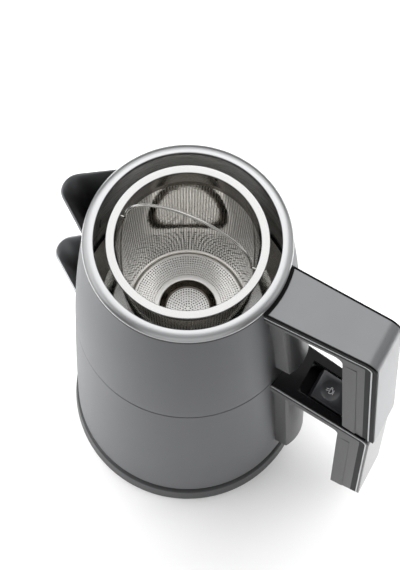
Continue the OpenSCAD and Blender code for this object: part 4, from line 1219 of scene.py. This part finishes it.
@dataclass
class BrewKey:
    """The brew key: a soft-edged key with a round dish and a printed cup pictogram, in millimetres on the arm."""

    arm: Arm
    start: float = 23.7
    end: float = 49.0
    half_w: float = 9.9
    corner: float = 2.4
    edge: float = 0.5
    proud: float = 0.6
    height: float = 6.0
    dish_r: float = 6.7
    dish_depth: float = 1.2
    dish_over: float = 1.1
    dish_steps: int = 24
    dish_top: float = 4.0
    recess_r: float = 4.6
    recess_depth: float = 3.0
    stroke: float = 0.42
    print_t: float = 0.05
    print_lift: float = 0.01

    @property
    def middle(self) -> float:
        """Return the dish's place along the arm."""
        return self.start + self.half_w

    @property
    def ball_r(self) -> float:
        """Return the radius of the dish's ball."""
        return (self.dish_r**2 + self.dish_depth**2) / (2 * self.dish_depth)

    def dish_z(self, r: float) -> float:
        """Return the dish's height at a distance from its middle."""
        return self.proud - self.dish_depth + self.ball_r - math.sqrt(self.ball_r**2 - r**2)

    def key(self) -> None:
        """Shape the key and press the dish into it."""
        piece = rounded_plate("brew_key_cap", self.start, self.end, self.half_w, self.corner, -self.height, self.proud,
                              self.edge, 8)
        radii = [self.dish_r * self.dish_over * i / self.dish_steps for i in range(self.dish_steps + 1)]
        dish = [(r, self.dish_z(r)) for r in radii] + [(radii[-1], self.dish_top), (0.0, self.dish_top)]
        tool = revolve("dish_tool", dish, 120)
        set_points(tool, points_of(tool) + np.array([self.middle * MM, 0.0, 0.0]))
        cut(piece, tool)
        # The spring is pressed into a round recess under the key
        cut(piece, add(bpy.ops.mesh.primitive_cylinder_add, "recess_tool", vertices=48, radius=self.recess_r * MM,
                       depth=2 * self.recess_depth * MM, location=(self.middle * MM, 0.0, -self.height * MM)))
        set_points(piece, self.arm.place(points_of(piece) / MM) * MM)
        smooth(piece, 32)
        put(piece, Body.KEY, "key_plastic", KEY_BLACK, "brew_key")

    def ribbon(self, line: Profile) -> Piece:
        """Lay one printed stroke on the dish.

        Args:
            line: The stroke's middle line, with x across the key and y towards the body.

        Returns:
            The stroke as a thin film.
        """
        points = np.array(line)
        ways = np.gradient(points, axis=0)
        ways /= np.linalg.norm(ways, axis=1)[:, None]
        side = np.stack([-ways[:, 1], ways[:, 0]], 1) * self.stroke / 2
        flat = np.concatenate([points + side, points - side])
        lifted = [(self.middle - y, x, self.dish_z(r) + self.print_lift)
                  for (x, y), r in zip(flat, np.linalg.norm(flat, axis=1))]
        piece = lofted("stroke", self.arm.place(np.array(lifted)), len(points))
        if piece.data.polygons[0].normal.z < 0:
            flip(piece)
        modify(piece, "SOLIDIFY", thickness=self.print_t * MM, offset=1.0)
        return piece

    def pictogram(self) -> None:
        """Print a plain cup with two curls of steam."""
        bowl = [(-1.75, 0.1)] + arc((0.0, -0.3), 1.75, 180, 360, 16) + [(1.75, 0.1)]
        brim = [(-1.95, 0.1), (0.0, 0.1), (1.95, 0.1)]
        ear = arc((1.85, -0.55), 0.72, 70, -100, 10)
        saucer = [(-1.6, -2.55), (0.0, -2.62), (1.6, -2.55)]
        steam = [[(x + 0.28 * math.sin(t * FULL_TURN), 0.8 + 1.8 * t) for t in (i / 12 for i in range(13))]
                 for x in (-0.6, 0.6)]
        strokes = [self.ribbon(line) for line in (bowl, brim, ear, saucer, *steam)]
        put(joined("cup_pictogram", strokes), Body.KEY, "key_plastic", PALE_INK)

    def build(self) -> None:
        """Make the key and its print."""
        self.key()
        self.pictogram()


@dataclass
class Studio:
    """The camera at the photograph's place, the pale floor, the soft lights and the room's glow.

    The glow goes from the first to the second strength in room as a direction's share of the zenith passes through sky.
    """

    turn: float = 29.0
    tilt: float = 68.667
    distance_mm: float = 910.68
    axis_tilt: float = 70.299
    yaw: float = 0.436
    rim_z_mm: float = 309.0
    focal_px: float = 1600.0
    frame_px: float = 570.0
    sensor_mm: float = 36.0
    clip: Point = (0.01, 50.0)
    floor_size: float = 12.0
    table_glow: float = 0.05
    aim: tuple[float, float, float] = (0.0, 0.0, 0.2)
    zenith: tuple[float, float, float] = (0.0, 0.1, 0.995)
    room: Point = (0.14, 0.6)
    sky: Point = (0.6, 0.98)

    @property
    def turned(self) -> Matrix:
        """Return the rotation from the photograph's directions to the object's."""
        return Matrix.Rotation(math.radians(self.turn), 3, "Z")

    def camera(self) -> None:
        """Set the camera by the fitted place and axis of the photograph's view."""
        tilt, axis, yaw = (math.radians(a) for a in (self.tilt, self.axis_tilt, self.yaw))
        place = self.turned @ Vector((0, -math.cos(tilt), math.sin(tilt))) * self.distance_mm
        ahead = Vector((0, math.cos(axis), -math.sin(axis)))
        right = Vector((1, 0, 0))
        looking = self.turned @ (ahead * math.cos(yaw) + right * math.sin(yaw))
        across = self.turned @ (right * math.cos(yaw) - ahead * math.sin(yaw))
        data = bpy.data.cameras.new("camera")
        data.sensor_width = self.sensor_mm
        data.lens = self.focal_px * self.sensor_mm / self.frame_px
        data.clip_start, data.clip_end = self.clip
        camera = bpy.data.objects.new("camera", data)
        bpy.context.scene.collection.objects.link(camera)
        pose = Matrix((across, self.turned @ right.cross(ahead), -looking)).transposed().to_4x4()
        pose.translation = (place + Vector((0, 0, self.rim_z_mm))) * MM
        camera.matrix_world = pose
        bpy.context.scene.camera = camera

    def floor(self) -> None:
        """Lay a wide pale floor under the feet."""
        floor = add(bpy.ops.mesh.primitive_plane_add, "floor", size=self.floor_size, location=(0, 0, 0))
        material, tree, place = empty_material("matt_white_paper")
        # Paper that lets a little light through: matt, with a faint glow and a barely seen tooth
        tooth = add_node(tree, "TexNoise", {"Scale": 900.0, "Detail": 2.0}, {"Vector": place})
        bump = add_node(tree, "Bump", {"Strength": 0.03, "Distance": 0.5 * MM}, {"Height": tooth.outputs["Fac"]})
        paper = add_node(tree, "BsdfPrincipled",
                         {"Base Color": srgb("F0F0F0"), "Roughness": 0.9, "Specular IOR Level": 0.1,
                          "Emission Color": srgb("FFFFFF"), "Emission Strength": self.table_glow},
                         {"Normal": bump.outputs[0]})
        add_node(tree, "OutputMaterial", links={"Surface": paper.outputs[0]})
        floor.data.materials.append(material)

    def softbox(self, name: str, place: Vector, target: Vector, size: Point, watts: float) -> None:
        """Hang one soft rectangular light.

        Args:
            name: The light's name.
            place: Its middle, in metres.
            target: The point that it faces, in metres.
            size: Its width and height, in metres.
            watts: Its power.
        """
        data = bpy.data.lights.new(name, "AREA")
        data.shape = "RECTANGLE"
        data.size, data.size_y = size
        data.energy = watts
        light = bpy.data.objects.new(name, data)
        light.location = place
        light.rotation_euler = (target - place).to_track_quat("-Z", "Y").to_euler()
        bpy.context.scene.collection.objects.link(light)

    def lights(self) -> None:
        """Hang the studio's softboxes."""
        for name, place, size, watts in (("window_left", (-3.4, 0.8, 2.1), (4.8, 3.2), 40.0),
                                         ("back_bank", (0.1, 1.6, 1.7), (3.2, 1.2), 9.0),
                                         ("ceiling", (0.0, 0.6, 2.2), (2.8, 1.7), 15.0),
                                         ("fill_right", (3.4, 0.4, 1.9), (4.2, 3.0), 20.0),
                                         ("front_wall", (0.0, -3.3, 1.9), (4.8, 3.0), 24.0)):
            self.softbox(name, self.turned @ Vector(place), Vector(self.aim), size, watts)
        # Low boxes facing down brighten the paper beside and behind the body, which its steel mirrors
        for name, place, size, watts in (("wash_left", (-0.42, 0.0, 0.27), (0.5, 0.7), 3.0),
                                         ("wash_right", (0.5, 0.05, 0.27), (0.4, 0.6), 2.6),
                                         ("wash_back", (0.0, 0.62, 0.29), (1.0, 0.4), 3.5)):
            spot = self.turned @ Vector(place)
            self.softbox(name, spot, spot - Vector((0, 0, 1)), size, watts)

    def glow(self) -> None:
        """Make the room glow overhead and fall off towards its walls, as under a large ceiling softbox."""
        world = bpy.data.worlds.new("room")
        bpy.context.scene.world = world
        world.use_nodes = True
        tree = world.node_tree
        background = next(n for n in tree.nodes if n.type == "BACKGROUND")
        background.inputs["Color"].default_value = (1.0, 1.0, 1.0, 1.0)
        way = add_node(tree, "TexCoord").outputs["Generated"]
        height = add_node(tree, "VectorMath", {1: tuple(self.turned @ Vector(self.zenith))}, {0: way},
                          operation="DOT_PRODUCT")
        fall = add_node(tree, "MapRange", {"From Min": self.sky[0], "From Max": self.sky[1],
                                           "To Min": self.room[0], "To Max": self.room[1]},
                        {"Value": height.outputs["Value"]}, interpolation_type="SMOOTHSTEP")
        tree.links.new(fall.outputs[0], background.inputs["Strength"])

    def build(self) -> None:
        """Set up camera, floor and lights, and a plain view of the colours."""
        self.camera()
        self.floor()
        self.lights()
        self.glow()
        bpy.context.scene.view_settings.view_transform = "Standard"
        LOG.info("studio is set")


def main() -> None:
    """Build the studio and the tea maker's sub-assemblies in order."""
    logging.basicConfig(level=logging.INFO, format="%(message)s")
    Studio().build()
    Dresser().dress()
    shells = Shells()
    shells.build()
    Spout(Body.TEAPOT, shells.pot, lip_z=299.0, reach=83.0, height=62.0, fall=0.09).build()
    Spout(Body.KETTLE, shells.kettle, lip_z=184.7, reach=97.3, height=70.0, fall=0.25).build()
    Basket().build()
    pot_arm = Arm(shells.pot, (121.665, 294.0), slope=0.0, lean=5.7, drop=149.14, root=54.97, half_w=17.0, end_gap=2.5)
    kettle_arm = Arm(shells.kettle, (132.744, 153.8), slope=18.0, lean=3.0, drop=123.97, root=67.986, half_w=18.0)
    Handles(pot_arm, kettle_arm).build()
    BrewKey(kettle_arm).build()


if __name__ == "__main__":
    main()
